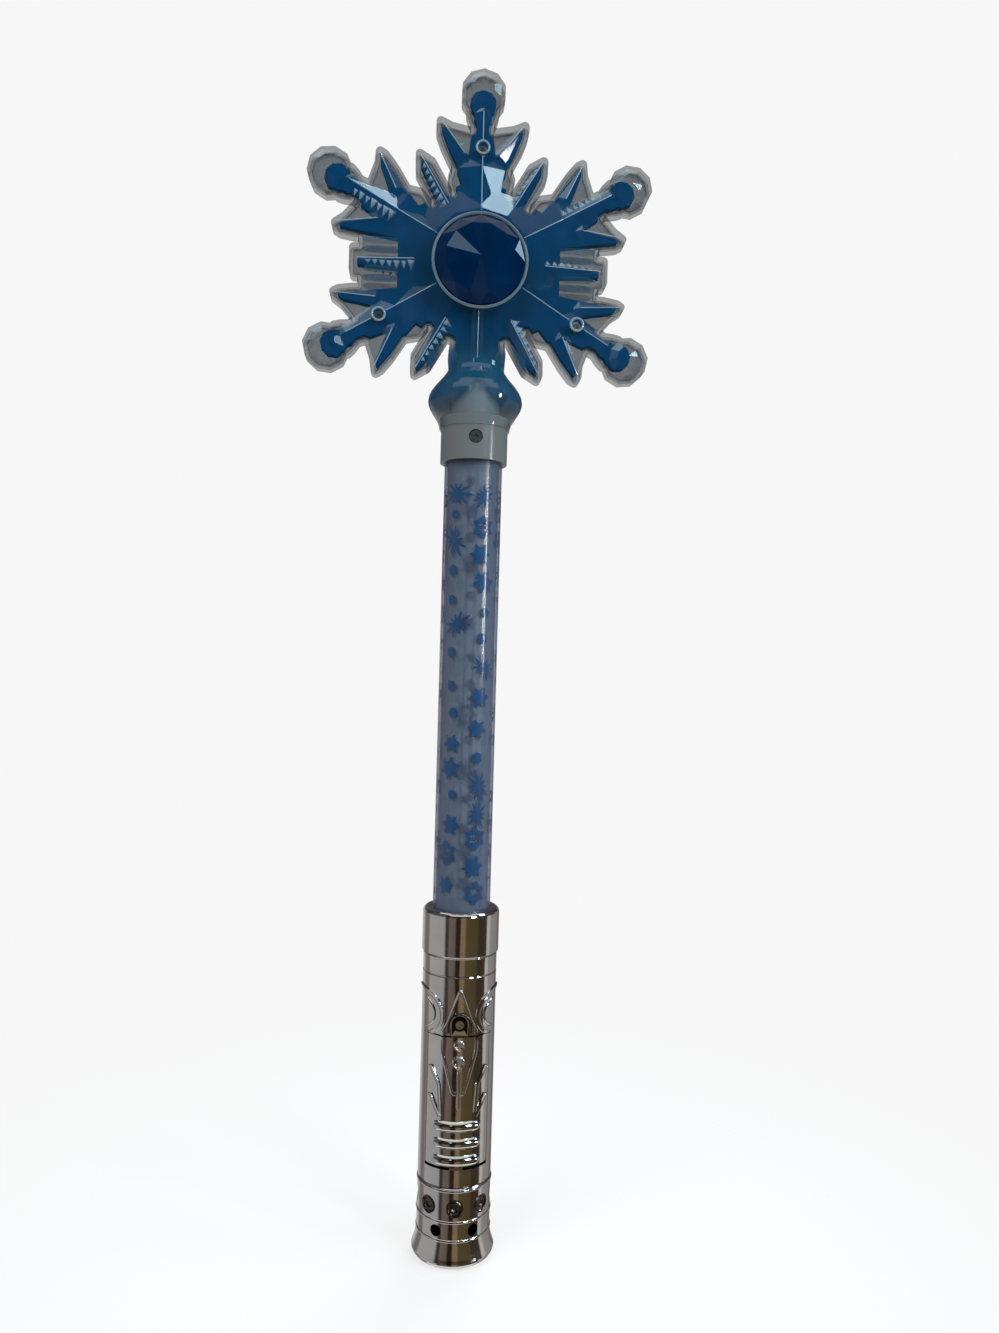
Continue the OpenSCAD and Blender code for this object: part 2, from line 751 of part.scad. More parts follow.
module pommel() color([0.66, 0.67, 0.7]) difference() {
  union() {
    revolve(concat(
      [[0, 0]],
      [for (i = [0:round_steps]) let (a = 90 * i / round_steps - 90)
        [foot_r - foot_round + foot_round * cos(a), foot_round + foot_round * sin(a)]],
      [for (i = [1:flare_steps]) let (t = i / flare_steps)
        [grip_r + (foot_r - grip_r) * (1 - t) * (1 - t), foot_round + (flare_h - foot_round) * t]],
      [[grip_r, pommel_h - edge], [grip_r - edge, pommel_h], [0, pommel_h]]
    ));
    for (share = bead_shares) rotate_extrude()
      translate([grip_r - bead_sink, share * pommel_h]) circle(r = bead_r);
  }
  translate([0, 0, foot_floor]) cylinder(r = pommel_bore_r, h = pommel_h);
  for (i = [0:recess_count - 1]) at_front(recess_z, grip_r - recess_depth, 360 * i / recess_count) recess();
  for (side = [-1, 1]) at_front(cord_hole_z, 0, side * cord_hole_angle) cylinder(r = cord_hole_r, h = foot_r);
}

module recess() difference() {
  cylinder(r = recess_r, h = foot_r);
  difference() {
    translate([0, 0, -overrun]) cylinder(r = recess_ring_r, h = recess_step + overrun);
    translate([0, 0, -2 * overrun]) cylinder(r = recess_land_r, h = recess_step + 4 * overrun);
  }
}

// Door with its hook at the foot and the screw tongue at its head

module door_relief() {
  intersection() {
    kite_frame();
    translate([-grip_r, 0]) square([2 * grip_r, z_door1]);
  }
  for (eye = [[boss_ring_z, boss_ring_r], [eye_z, eye_r]]) translate([0, z_door1 - eye[0]]) difference() {
    circle(r = eye[1]);
    circle(r = eye[1] - ring_line);
  }
  translate([-spine_w / 2, z_door0 + rib_lift + rib_count * rib_pitch])
    square([spine_w, door_len - eye_z - eye_r - rib_lift - rib_count * rib_pitch + ring_line / 2]);
  for (side = [-1, 1], bar = feather_shares) lines(
    [side * bar[0][0] * door_half_w, z_door1 - bar[0][1] * door_len],
    [side * bar[1][0] * door_half_w, z_door1 - bar[1][1] * door_len], kite_line
  );
}

module battery_door() color([0.66, 0.67, 0.7]) difference() {
  union() {
    translate([0, 0, z_door0]) rotate([0, 0, 270 - door_half_angle])
      rotate_extrude(angle = 2 * door_half_angle)
        translate([grip_r - door_wall, 0]) square([door_wall, door_len]);
    relief(relief_h) door_relief();
    relief(rib_stand) for (i = [0:rib_count - 1])
      translate([-rib_w / 2, z_door0 + rib_lift - rib_h / 2 + i * rib_pitch]) square([rib_w, rib_h]);
    rotate([90, 0, 0]) translate([0, 0, grip_r - tongue_sink - tongue_t]) linear_extrude(tongue_t)
      arch(tongue_w, z_door1 - tongue_root, z_screw);
    hook();
  }
  at_front(z_screw, 0) cylinder(r = door_screw_r + slip, h = grip_r);
}

module hook() {
  back = grip_r - door_wall - hook_reach;
  translate([-hook_w / 2, -back - hook_t, z_door0 - hook_drop]) cube([hook_w, hook_t, hook_drop + hook_root]);
  translate([-hook_w / 2, -back - hook_reach - fit, z_door0]) cube([hook_w, hook_reach + fit, hook_root]);
}

module door_screw() color([0.4, 0.41, 0.43]) at_front(z_screw, grip_r - tongue_sink) difference() {
  union() {
    translate([0, 0, fit]) cylinder(r = door_screw_head_r, h = door_screw_head_h);
    translate([0, 0, -door_screw_len]) cylinder(r = door_screw_r, h = door_screw_len + 2 * fit);
  }
  for (turn = [0, 90]) rotate(turn)
    translate([-door_screw_r, -drive_w / 2, door_screw_head_h - drive_depth + fit])
      cube([2 * door_screw_r, drive_w, drive_depth + overrun]);
}

// Cells and their contacts

module at_cell(i) rotate([0, 0, cell_angles[i]]) translate([cell_orbit, 0, 0]) children();

module upright(i) {
  if (nub_up[i]) translate([0, 0, z_bay0]) children();
  else translate([0, 0, z_bay1]) mirror([0, 0, 1]) children();
}

module cells() color([0.1, 0.4, 0.2]) for (i = [0:2]) at_cell(i) upright(i)
  translate([0, 0, contact_t + spring_h + fit]) {
    cylinder(r = cell_r, h = cell_len - nub_h);
    cylinder(r = nub_r, h = cell_len);
  }

// A conical coil as one tube: each turn has 8 rings of 6 sides

ring_sides = 6;
turn_rings = 8;
spring_rings = spring_turns * turn_rings;

function spring_centre(k) = let (
  share = k / spring_rings,
  angle = 360 * k / turn_rings,
  radius = spring_foot_r + (spring_top_r - spring_foot_r) * share,
  rise = spring_h - 2 * spring_wire_r - 2 * fit
) [radius * cos(angle), radius * sin(angle), spring_wire_r + fit + rise * share];

function spring_ring(k) = let (c = spring_centre(k), a = 360 * k / turn_rings)
  [for (s = [0:ring_sides - 1]) let (b = 360 * s / ring_sides)
    c + spring_wire_r * [cos(b) * cos(a), cos(b) * sin(a), sin(b)]];

spring_gap = min([for (k = [0:spring_rings - turn_rings])
  norm(spring_centre(k + turn_rings) - spring_centre(k))]) - 2 * spring_wire_r;
echo(least_spring_gap = spring_gap);

module spring() {
  points = [for (k = [0:spring_rings]) each spring_ring(k)];
  n = ring_sides;
  sides = [for (k = [0:spring_rings - 1], s = [0:n - 1]) let (t = (s + 1) % n) each
    [[k * n + s, k * n + n + s, k * n + t], [k * n + t, k * n + n + s, k * n + n + t]]];
  last = spring_rings * n;
  caps = [for (s = [1:n - 2]) each [[0, s, s + 1], [last, last + s + 1, last + s]]];
  polyhedron(points = points, faces = concat(sides, caps));
}

module contact_springs() color([0.78, 0.78, 0.74]) for (i = [0:2]) at_cell(i) upright(i)
  translate([0, 0, contact_t]) spring();

module contact_pad(i) at_cell(i) cylinder(r = contact_r, h = contact_t);

module bridge(i, j) {
  contact_pad(i);
  contact_pad(j);
  turn = (cell_angles[i] + cell_angles[j]) / 2;
  rotate([0, 0, turn]) translate([cell_orbit / 2 - bridge_w / 2, -cell_r, 0])
    cube([bridge_w, 2 * cell_r, contact_t]);
}

module top_contacts() color([0.78, 0.78, 0.74]) translate([0, 0, z_bay1 - contact_t]) {
  contact_pad(0);
  bridge(1, 2);
}

module bottom_contacts() color([0.78, 0.78, 0.74]) translate([0, 0, z_bay0]) {
  bridge(0, 1);
  contact_pad(2);
}

module end_disc(z) translate([0, 0, z]) difference() {
  cylinder(r = bay_r - slip, h = disc_t);
  translate([-bay_r, -disc_front - bay_r, -overrun]) cube([2 * bay_r, bay_r, disc_t + 2 * overrun]);
}

module cell_frame() color([0.12, 0.12, 0.13]) {
  end_disc(z_bay0 - disc_t);
  end_disc(z_bay1);
  for (angle = [30, 150]) rotate([0, 0, angle]) translate([bay_r - rail_r - rail_inset, 0, z_bay0 - disc_t])
    cylinder(r = rail_r, h = bay_len + 2 * disc_t);
}

// Board, switch and button

module control_board() color([0.1, 0.35, 0.16]) {
  translate([-board_w / 2, board_y, board_z0]) cube([board_w, board_t, board_z1 - board_z0]);
  translate([-terminal_w / 2, -wire_y + wire_r + fit, board_z1 - terminal_h])
    cube([terminal_w, board_y + wire_y - wire_r - fit, terminal_h]);
}

module controller_chip() color([0.08, 0.08, 0.09])
  translate([-chip_w / 2, board_y - chip_t, board_z1 - terminal_h - chip_drop])
    cube([chip_w, chip_t, chip_h]);

module switch_case() color([0.15, 0.15, 0.16]) difference() {
  translate([-switch_w / 2, board_back, z_button - switch_w / 2]) cube([switch_w, switch_h, switch_w]);
  at_back(z_button, board_back + switch_h - plunger_depth) cylinder(r = plunger_r + free_gap, h = switch_h);
}

module switch_plunger() color([0.85, 0.85, 0.82])
  at_back(z_button, board_back + switch_h - plunger_seat)
    cylinder(r = plunger_r, h = button_in - board_back - switch_h + plunger_seat);

module push_button() color([0.2, 0.45, 0.75]) {
  top = grip_r + button_stand - button_in;
  at_back(z_button, button_in) revolve(concat(
    [[0, 0], [button_r + button_flange, 0]],
    [[button_r + button_flange, button_flange_t], [button_r, button_flange_t]],
    [for (i = [0:round_steps]) let (a = 90 * i / round_steps)
      [button_r - button_round + button_round * cos(a), top - button_round + button_round * sin(a)]],
    [[0, top]]
  ));
}

head_front_shell();
head_back_shell();
flake_insert();
front_gem();
back_gem();
front_bezel();
back_bezel();
head_screws();
head_led_board();
head_leds();
collar();
collar_screw();
shaft_tube();
print_liner();
lead_wires();
tube_led();
ferrule();
barrel_front();
barrel_back();
pommel();
battery_door();
door_screw();
cells();
contact_springs();
top_contacts();
bottom_contacts();
cell_frame();
control_board();
controller_chip();
switch_case();
switch_plunger();
push_button();
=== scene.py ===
"""Looks of a light-up toy wand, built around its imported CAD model."""

import math

import bmesh
import bpy
import numpy as np
from mathutils import Matrix, Vector


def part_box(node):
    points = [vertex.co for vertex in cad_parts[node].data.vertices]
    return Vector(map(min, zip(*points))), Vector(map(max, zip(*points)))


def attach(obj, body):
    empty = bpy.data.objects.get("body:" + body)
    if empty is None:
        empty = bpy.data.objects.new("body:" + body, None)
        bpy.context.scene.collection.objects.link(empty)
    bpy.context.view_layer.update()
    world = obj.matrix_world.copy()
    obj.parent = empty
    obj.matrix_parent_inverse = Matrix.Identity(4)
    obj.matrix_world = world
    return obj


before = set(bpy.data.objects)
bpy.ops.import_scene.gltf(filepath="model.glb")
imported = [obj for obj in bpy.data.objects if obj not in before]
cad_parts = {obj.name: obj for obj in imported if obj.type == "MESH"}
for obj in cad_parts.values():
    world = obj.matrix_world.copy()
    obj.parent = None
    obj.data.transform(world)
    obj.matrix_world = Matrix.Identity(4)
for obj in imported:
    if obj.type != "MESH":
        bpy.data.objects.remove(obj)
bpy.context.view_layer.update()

bl_info = {
    "name": "Toy Wand",
    "version": (1, 0, 0),
    "blender": (4, 5, 0),
    "location": "View3D > Sidebar > Wand",
    "description": "Finishes and surface detail of a light-up toy wand",
    "category": "Object",
}

MM = 0.001
FULL_TURN = 2 * np.pi
BOTH_SIDES = np.array([-1.0, 1.0])
JOIN_DISTANCE = 1e-7
SHARP_ANGLE = math.radians(35)
WAND = "wand"
DOOR = "door"

# Places taken from the imported CAD parts; the door's tongue for its screw stands above its top edge
TUBE_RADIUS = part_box("shaft_tube")[1].x
FERRULE_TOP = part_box("ferrule")[1].z
COLLAR_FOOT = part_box("collar")[0].z
BELL_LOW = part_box("head_front_shell")[0].z
GEM_LOW, GEM_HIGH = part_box("front_gem")
FLAKE_MID = (GEM_LOW.z + GEM_HIGH.z) / 2
DOOR_TONGUE = 7.8 * MM
DOOR_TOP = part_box("battery_door")[1].z - DOOR_TONGUE
SCREW_LOW, SCREW_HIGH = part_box("door_screw")
SCREW_MID = (SCREW_LOW.z + SCREW_HIGH.z) / 2

# Angles of the head's arms and crystals
ARM_ANGLES = np.radians([90, 150, 30, 210, 330])
LOWER_ARM_ANGLE = np.radians(270)
SCREW_ANGLES = np.radians([90, 210, 330])
PLAIN_ANGLES = np.radians([150, 30])
CRYSTAL_ANGLES = np.radians(np.arange(0, 360, 60))

# Ridges of the head in millimetres: place along the arm, place across it and height, at both ends
BLADE_RIDGE = ((18.6, 0, 8.6), (36.3, 0, 7.18))
STEM_RIDGE = ((36.3, 0, 7.18), (57.4, 0, 6.44))
STEM_FOOT_RIDGE = ((36.3, 0, 7.18), (40.1, 0, 7.05))
STEM_TIP_RIDGE = ((46.3, 0, 6.83), (57.4, 0, 6.44))
BARB_RIDGE = ((40.9, 6.6, 6.26), (53.6, 15.6, 4.88))
CRYSTAL_RIDGE = ((24.5, 0, 7.1), (46.5, 0, 4.88))

# Lines on the ridges, pale as painted highlights: shares of the length with the swell there, and the sides
# of a line
LINE_SHARES = np.array([0, 0.02, 0.98, 1])
LINE_SWELLS = np.array([0, 1, 1, 0])
LINE_SIDES = 8

# Bosses of the head screws in millimetres: place along the arm, radius and height, and the rim on them
SCREW_BOSS = (43.2, 2.38, 7.4)
RIM_HALF = 0.42
RIM_RISE = 0.45
RIM_SINK = 0.05
RIM_ROWS = 40
RIM_COLUMNS = 9

# Ribs of the side webs: rows in pitches from the middle, both ends, height of the web and rise above it
RIB_ROWS = np.array([-2.0, -1.0, 1.0, 2.0])
RIB_ENDS = (30 * MM, 44.5 * MM)
WEB_HEIGHT = 4.3 * MM
RIB_RISE = 0.3 * MM
RIB_STEPS = 13
RIB_COLUMNS = 9

# Teeth in millimetres: distance of a row from its ridge with the flank's width at both ends, and heights
CRYSTAL_TEETH = (1.7, (4.2, 1.1))
STEM_TEETH = (2.6, (6.4, 4.1))
TOOTH_RISE = 0.95
TOOTH_SINK = 0.1
PLATE_HEIGHT = 3.8
# Teeth as shares: places on the ridge, corners and tip, length, taper, spread and limits on the flank
TOOTH_PLACES = np.linspace(0.06, 0.8, 7)
TOOTH_CORNERS = np.array([[1.0, -0.7], [0, 1.2], [-1.0, -0.7], [0, 0]])
TOOTH_SIDES = np.array([[0, 1, 3], [1, 2, 3], [2, 0, 3], [0, 2, 1]])
TOOTH_TIP = 3
TOOTH_LENGTH_SHARE = 0.75
TOOTH_TAPER_SHARE = 0.25
TOOTH_SPREAD = (0.75, 1.15)
ROW_LIMIT_SHARE = 0.55
WIDTH_LIMIT_SHARE = 0.42
TOOTH_SEED = 5

# Painted light on shell facets: direction that they face, cosines and distances where they fade in, and
# cover
LIT_FACET_WAY = (-0.55, -0.62, 0.56)
FACET_FADE = (0.86, 0.97)
HUB_FADE = (31 * MM, 37 * MM)
FACET_LIGHT_COVER = 0.62
# The bell's blue is painted light: the insert's light as the clear plastic would bend it
# Painted blue on the bell: fades along height plus width, over its foot, under the arms and at its sides,
# and cover
BELL_FLANK_FADE = (BELL_LOW + 13.5 * MM, BELL_LOW + 18 * MM)
BELL_FOOT_FADE = (BELL_LOW + 4.5 * MM, BELL_LOW + 11 * MM)
BELL_TOP_FADE = (BELL_LOW + 34 * MM, BELL_LOW + 27 * MM)
BELL_SIDE_FADE = (19.5 * MM, 18.2 * MM)
BELL_BLUE_COVER = 0.84
PLASTIC_IOR = 1.6
STONE_IOR = 1.38
LINE_IOR = 1.9

# The collar inside the bell is painted lighter, and bluer higher up, for the light that comes through the
# bell
# Painted light on the collar inside the bell: height above the bell's foot, length of the fade, and colour
COLLAR_LIGHT_STEPS = ((0, 0.4 * MM, (0.46, 0.50, 0.50)), (4 * MM, 11 * MM, (0.38, 0.50, 0.56)))

# Print: depth in the tube wall, bare ends, columns in degrees from the camera, and spread of the motifs
PRINT_DEPTH = 0.15 * MM
PRINT_FOOT = 2 * MM
PRINT_HEAD = 6 * MM
INK_COLUMNS = (-29, 29, 90, -90, 151, -151)
PALE_COLUMNS = (0, 180)
INK_SEED = 11
PALE_SEED = 4
TURN_SPREAD = 0.14
RISE_SPREAD_SHARE = 0.12
STAGGER_SHARE = 0.25
# Motifs, in the order hexagon, star, open flake and feathery flake: how often, and radius in millimetres
MOTIF_SHARES = (0.34, 0.24, 0.26, 0.16)
MOTIF_SIZES = np.array([2.1, 4.1, 5.0, 6.4])
MOTIF_SPREAD = (0.88, 1.1)
STAR = 1
OPEN_FLAKE = 2
MOTIF_RAYS = 60
MOTIF_RINGS = 6
# Outlines of the motifs as shares of their radius, and the power that sharpens their points
HEXAGON_FLAT_SHARE = 0.86
STAR_CORE_SHARE = 0.60
STAR_POWER = 4
FLAKE_CORE_SHARE = 0.66
FLAKE_POWER = 5
FLAKE_HOLE_SHARE = 0.40
HOLE_WAVE_SHARE = 0.10
FLAKE_MIDDLE_SHARE = 0.26
BARB_SHARE = 0.12
BARB_ANGLE = 0.3
BARB_WIDTH = 0.06
FEATHER_CORE_SHARE = 0.30
FEATHER_POWER = 3
FEATHER_WAVE_SHARE = 0.3

# Raised lines of the handle in millimetres: places across the front and up from the door's top edge
FEATHER_LINES = (
    ((6.45, -0.75), (6.45, -5.1), (2.1, -20.9), (0.4, -20.9)),
    ((10.5, -11.5), (7.4, -17.8), (6.65, -28.3)),
    ((10.5, -22.1), (6.65, -30.2)),
)
SPINE_LINE = ((0, -12.0), (0, -26.6))
KITE_LINE = ((-6.45, 1.4), (-6.45, 2.0), (-4.64, 5.1), (0, 17.4), (4.64, 5.1), (6.45, 2.0), (6.45, 1.4))
# Half width and rise of the lines in millimetres
LINE_BEAD = (0.75, 0.7)
FINE_BEAD = (0.6, 0.6)
SPINE_BEAD = (0.7, 0.7)
EYELET_BEAD = (0.65, 0.85)
DOOR_RIB_BEAD = (2.1, 1.45)
ARCH_BEAD = (0.6, 0.75)
BEAD_SINK = 0.05 * MM
BEAD_COLUMNS = 11
# Round lines: centre of the swirls with radius, both angles and bead of each, eyelets as height and radius,
# and the arch over the screw as radius, height of its centre and height of its feet
SWIRL_CENTRE = (15.2, 7.6)
SWIRLS = ((8.2, 112, 236, LINE_BEAD), (6.0, 118, 242, FINE_BEAD))
EYELETS = ((-2.9, 1.65), (-9.2, 2.05))
ARCH_RADIUS = 4.2
ARCH_CENTRE = 4.6
ARCH_FEET = 1.3
# Ribs of the door: half length and heights
DOOR_RIB_REACH = 8.6
DOOR_RIB_HEIGHTS = -45.8 + 6.3 * np.arange(3)
# Counts of places on a line, the kite, an arc and an eyelet, and at each side of a place in the running mean
LINE_PLACES = 90
KITE_PLACES = 160
ARC_PLACES = 40
EYELET_PLACES = 48
EASE_REACH = 3

# The discs and the arch over the door's screw are darkened with painted shade
# Discs in the foot's recesses: count, radius, height on the foot, depth under the grip, and raised ring
DISC_COUNT = 8
DISC_RADIUS = 3.25 * MM
DISC_HEIGHT = 22.2 * MM
DISC_DEPTH = 0.97 * MM
RING_RADIUS = 1.85 * MM
RING_HALF = 0.62 * MM
RING_RISE = 0.54 * MM
DISC_ROWS = 36
DISC_COLUMNS = 14

# The plate round the door's screw is a dark sheet of painted shade for its pocket
# Plate round the door's screw in millimetres: radius of its arch and both ends of its sides, then its place
# in front of the axis and its open middle as a share
PLATE_RADIUS = 3.0
PLATE_SIDES = (-4.2, -2.1)
PLATE_FRONT = 12.86 * MM
PLATE_HOLE_SHARE = 0.42
PLATE_PLACES = 24
PLATE_COLUMNS = 4
# Painted shade on the rim of the door's screw: distances from its middle between which it fades in, and
# colour
SCREW_SHADE_FADE = (1.45 * MM, 1.65 * MM)
SCREW_SHADE_COLOUR = (0.025, 0.022, 0.018)

# Values that several finishes share
STEEL = {"scale": 300, "metal": 1.0}
INK = {"scale": 140, "grain": 1500, "Specular_IOR_Level": 0.1}
# Finishes of the inner pieces: colour, least and most roughness, other values, and the nodes that carry them
INNER_FINISHES = {
    "screw_steel": ((0.42, 0.42, 0.43), 0.25, 0.42, STEEL, ("head_screws",)),
    "bright_steel": ((0.48, 0.46, 0.41), 0.25, 0.4, STEEL, ("door_screw",)),
    "grey_steel": ((0.20, 0.215, 0.205), 0.3, 0.45, STEEL, ("collar_screw",)),
    "contact_metal": (
        (0.62, 0.60, 0.54), 0.2, 0.35, {"scale": 250, "metal": 1.0},
        ("contact_springs", "top_contacts", "bottom_contacts")),
    "black_plastic": (
        (0.02, 0.02, 0.022), 0.4, 0.6, {"drift": 0.3}, ("cell_frame", "controller_chip", "switch_case")),
    "lamp_lens": ((0.75, 0.8, 0.88), 0.08, 0.15, {"drift": 0.05}, ("head_leds", "tube_led")),
    "lamp_board": ((0.6, 0.62, 0.6), 0.4, 0.55, {"drift": 0.08, "scale": 200}, ("head_led_board",)),
    "green_board": ((0.02, 0.12, 0.05), 0.35, 0.5, {"drift": 0.25, "scale": 200}, ("control_board",)),
    "wire_cover": ((0.20, 0.25, 0.33), 0.4, 0.5, {"Alpha": 0.08}, ("lead_wires",)),
    "cell_cover": ((0.02, 0.14, 0.06), 0.3, 0.45, {"drift": 0.1}, ("cells",)),
    "plunger_white": ((0.65, 0.65, 0.62), 0.4, 0.5, {"drift": 0.06}, ("switch_plunger",)),
}
# Depth of a bump, detail of the two noises and span of the fine one that the roughness follows
BUMP_DEPTH = 0.4 * MM
BROAD_DETAIL = 4
FINE_DETAIL = 3
NOISE_SPAN = (0.3, 0.7)

# Bands of the studio round the wand: degrees to the right of the camera, and the colour there
STUDIO_BANDS = (
    (-180, 0.34, 0.33, 0.34), (-150, 0.62, 0.62, 0.64), (-125, 0.20, 0.19, 0.19), (-108, 0.24, 0.23, 0.23),
    (-104, 0.46, 0.46, 0.47), (-48, 0.44, 0.44, 0.45), (-42, 0.06, 0.047, 0.04), (-36, 0.06, 0.047, 0.04),
    (-31, 0.20, 0.155, 0.14), (-15, 0.17, 0.13, 0.11), (-10, 0.03, 0.019, 0.01), (0, 0.03, 0.019, 0.01),
    (4, 0.26, 0.195, 0.13), (15, 0.26, 0.195, 0.125), (19, 0.11, 0.085, 0.041), (54, 0.094, 0.071, 0.034),
    (59, 0.05, 0.036, 0.023), (85, 0.06, 0.043, 0.03), (89, 0.62, 0.61, 0.60), (96, 0.62, 0.61, 0.60),
    (104, 0.36, 0.35, 0.34), (140, 0.28, 0.27, 0.27), (150, 0.10, 0.09, 0.09), (160, 0.34, 0.33, 0.33),
    (180, 0.34, 0.33, 0.34),
)
# Heights of the studio in metres and how bright its bands are there
STUDIO_LEVELS = ((-4.0, 1.0), (0.3, 1.0), (0.6, 0.22), (4.0, 0.22))
STUDIO_RADIUS = 2.6

# Lamps: place, width and height in metres, power in watts, colour, and whether smooth faces show the lamp
WHITE = (1, 1, 1)
PALE_SKY = (0.62, 0.88, 1.0)
LAMPS = {
    "key": ((-0.9, -0.9, 1.1), (0.9, 0.9), 14, WHITE, False),
    "window": ((0.70, -0.89, 0.82), (0.27, 0.27), 6.5, PALE_SKY, True),
    "side": ((0.99, -0.144, 1.075), (0.28, 0.28), 2.5, PALE_SKY, True),
    "crest": ((0.27, -0.31, 1.69), (0.12, 0.12), 0.7, PALE_SKY, True),
    "stone": ((-0.31, -1.06, 1.08), (0.12, 0.12), 0.16, PALE_SKY, True),
    "strip": ((1.29, -0.76, 0.40), (0.12, 0.36), 8.4, WHITE, True),
    "rim": ((0.5, 1.0, 1.0), (0.8, 0.8), 8, WHITE, False),
}
LAMP_AIM = Vector((0, 0, 0.25))
SKY_COLOUR = (0.95, 0.97, 1.0, 1)
SKY_STRENGTH = 0.55

# Floor in metres: radius, drop under the foot and fade towards its rim, and its own glow
FLOOR_RADIUS = 0.4
FLOOR_DROP = 0.0004
FLOOR_FADE = (0.06, 0.30)
FLOOR_ROUGHNESS = 0.9
FLOOR_ROWS = 96
FLOOR_COLUMNS = 5
GLOW_LEVEL = 0.97
GLOW_SHARE = 0.75
CAMERA_NEAR = 0.01


def length(name, description, default):
    """A length property in metres."""
    return bpy.props.FloatProperty(
        name=name, description=description, default=default, unit="LENGTH", precision=5)


def bearing(name, description, degrees):
    """An angle property, given in degrees."""
    return bpy.props.FloatProperty(
        name=name, description=description, default=math.radians(degrees), subtype="ANGLE")


def tint(name, description, default):
    """A colour property."""
    return bpy.props.FloatVectorProperty(
        name=name, description=description, default=default, size=3, subtype="COLOR", min=0, max=1)


class WandSizes(bpy.types.PropertyGroup):
    """Sizes of the detail and of the view."""

    film_radius: length(
        "Print radius", "Radius at which the print shows in the tube wall", TUBE_RADIUS - PRINT_DEPTH)
    print_step: length("Print step", "Height of one row of printed motifs", 10.6 * MM)
    rib_pitch: length("Web rib pitch", "Distance between the ribs of the head's side webs", 3.6 * MM)
    rib_width: length("Web rib width", "Width of one rib on the side webs", 2.7 * MM)
    grip_radius: length("Grip radius", "Radius of the grip under its raised lines", 13.998 * MM)
    glint_radius: length("Ridge line radius", "Radius of the fine lines along the head's ridges", 0.17 * MM)
    tooth: length("Tooth", "Half width of one tooth on the head's crystals", 1.75 * MM)
    camera_distance: length("Camera distance", "Distance from the camera to the wand's axis", 384 * MM)
    camera_height: length("Camera height", "Height of the camera above the foot", 223.3 * MM)
    camera_side: length("Camera side step", "Step of the camera to the right of the axis", 12.1 * MM)
    camera_lens: bpy.props.FloatProperty(
        name="Lens", description="Focal length in millimetres", default=27.03)
    camera_turn: bearing("Camera turn", "Azimuth of the camera round the wand", -4.5)
    camera_roll: bearing("Camera roll", "Lean of the camera", 1.57)


class WandColours(bpy.types.PropertyGroup):
    """Colours of the finishes."""

    shell: tint("Clear shell", "Body tint of the clear head", (0.004, 0.020, 0.032))
    # Painted light: facets that face up and to the left are tinted lighter for the light they catch
    facet_light: tint("Painted facet light", "Colour of the clear facets that face up", (0.15, 0.22, 0.27))
    # Painted light: the insert's blue as the bell would bend it
    bell: tint("Bell", "Blue that the insert lends to the bell", (0.008, 0.050, 0.098))
    ribs: tint("Web ribs", "Tint of the ribs on the side webs", (0.012, 0.055, 0.10))
    # Painted glint: the teeth are tinted pale for the light they catch
    teeth: tint("Teeth", "Pale tint of the teeth on the crystals", (0.26, 0.37, 0.44))
    # Painted highlight: the pale blue of the ridge lines and screw rims stands in for light caught by edges
    glint: tint("Ridge highlights", "Pale blue of the lines on the ridges", (0.34, 0.46, 0.54))
    insert: tint("Insert", "Blue of the flake insert", (0.0, 0.08, 0.25))
    stone: tint("Stone", "Dark blue of the stones", (0.0, 0.011, 0.040))
    ring: tint("Ring", "Pale rings round the stones", (0.10, 0.14, 0.17))
    collar: tint("Collar", "Milky collar", (0.115, 0.122, 0.124))
    tube: tint("Tube", "Body tint of the clear tube", (0.068, 0.082, 0.125))
    film: tint("Film", "Lavender grey of the film", (0.135, 0.185, 0.255))
    ink: tint("Ink", "Blue of the printed motifs", (0.0, 0.050, 0.145))
    pale_ink: tint("Pale ink", "Grey blue of the motifs that show through from behind", (0.035, 0.05, 0.10))
    plating: tint("Plating", "Colour of the plated handle", (0.62, 0.605, 0.585))
    # Painted shade: darker plating for the discs in the foot's recesses and the arch over the door's screw
    painted_shade: tint("Painted shade plating", "Colour of the discs and the screw's arch", (0.10, 0.082, 0.072))
    # Painted shade: a dark plate put in the pocket of the door's screw
    screw_shade: tint("Screw shade plating", "Colour of the plate round the door's screw", (0.03, 0.027, 0.022))
    button: tint("Button", "Blue of the push button", (0.05, 0.17, 0.5))
    backdrop: tint("Backdrop", "Pale ground behind the wand", (0.93, 0.93, 0.93))


def wand_settings(context):
    """The sizes and the colours that the scene holds."""
    return context.scene.wand_sizes, context.scene.wand_colours


# Meshes


def circle(count):
    """Turns evenly spaced round a full turn."""
    return np.linspace(0, FULL_TURN, count, endpoint=False)


def grid_quads(rows, columns, closed=False):
    """Quads of a rows by columns grid of vertices, row after row; closed joins the last row to the first."""
    last = rows if closed else rows - 1
    i, j = np.meshgrid(np.arange(last), np.arange(columns - 1), indexing="ij")
    a = i * columns + j
    b = ((i + 1) % rows) * columns + j
    return np.stack([a, b, b + 1, a + 1], axis=-1).reshape(-1, 4)


def repeat_faces(faces, size, count):
    """The faces of one patch, repeated for a count of patches with as many points each as size says."""
    return (np.arange(count)[:, None, None] * size + faces[None]).reshape(-1, faces.shape[1])


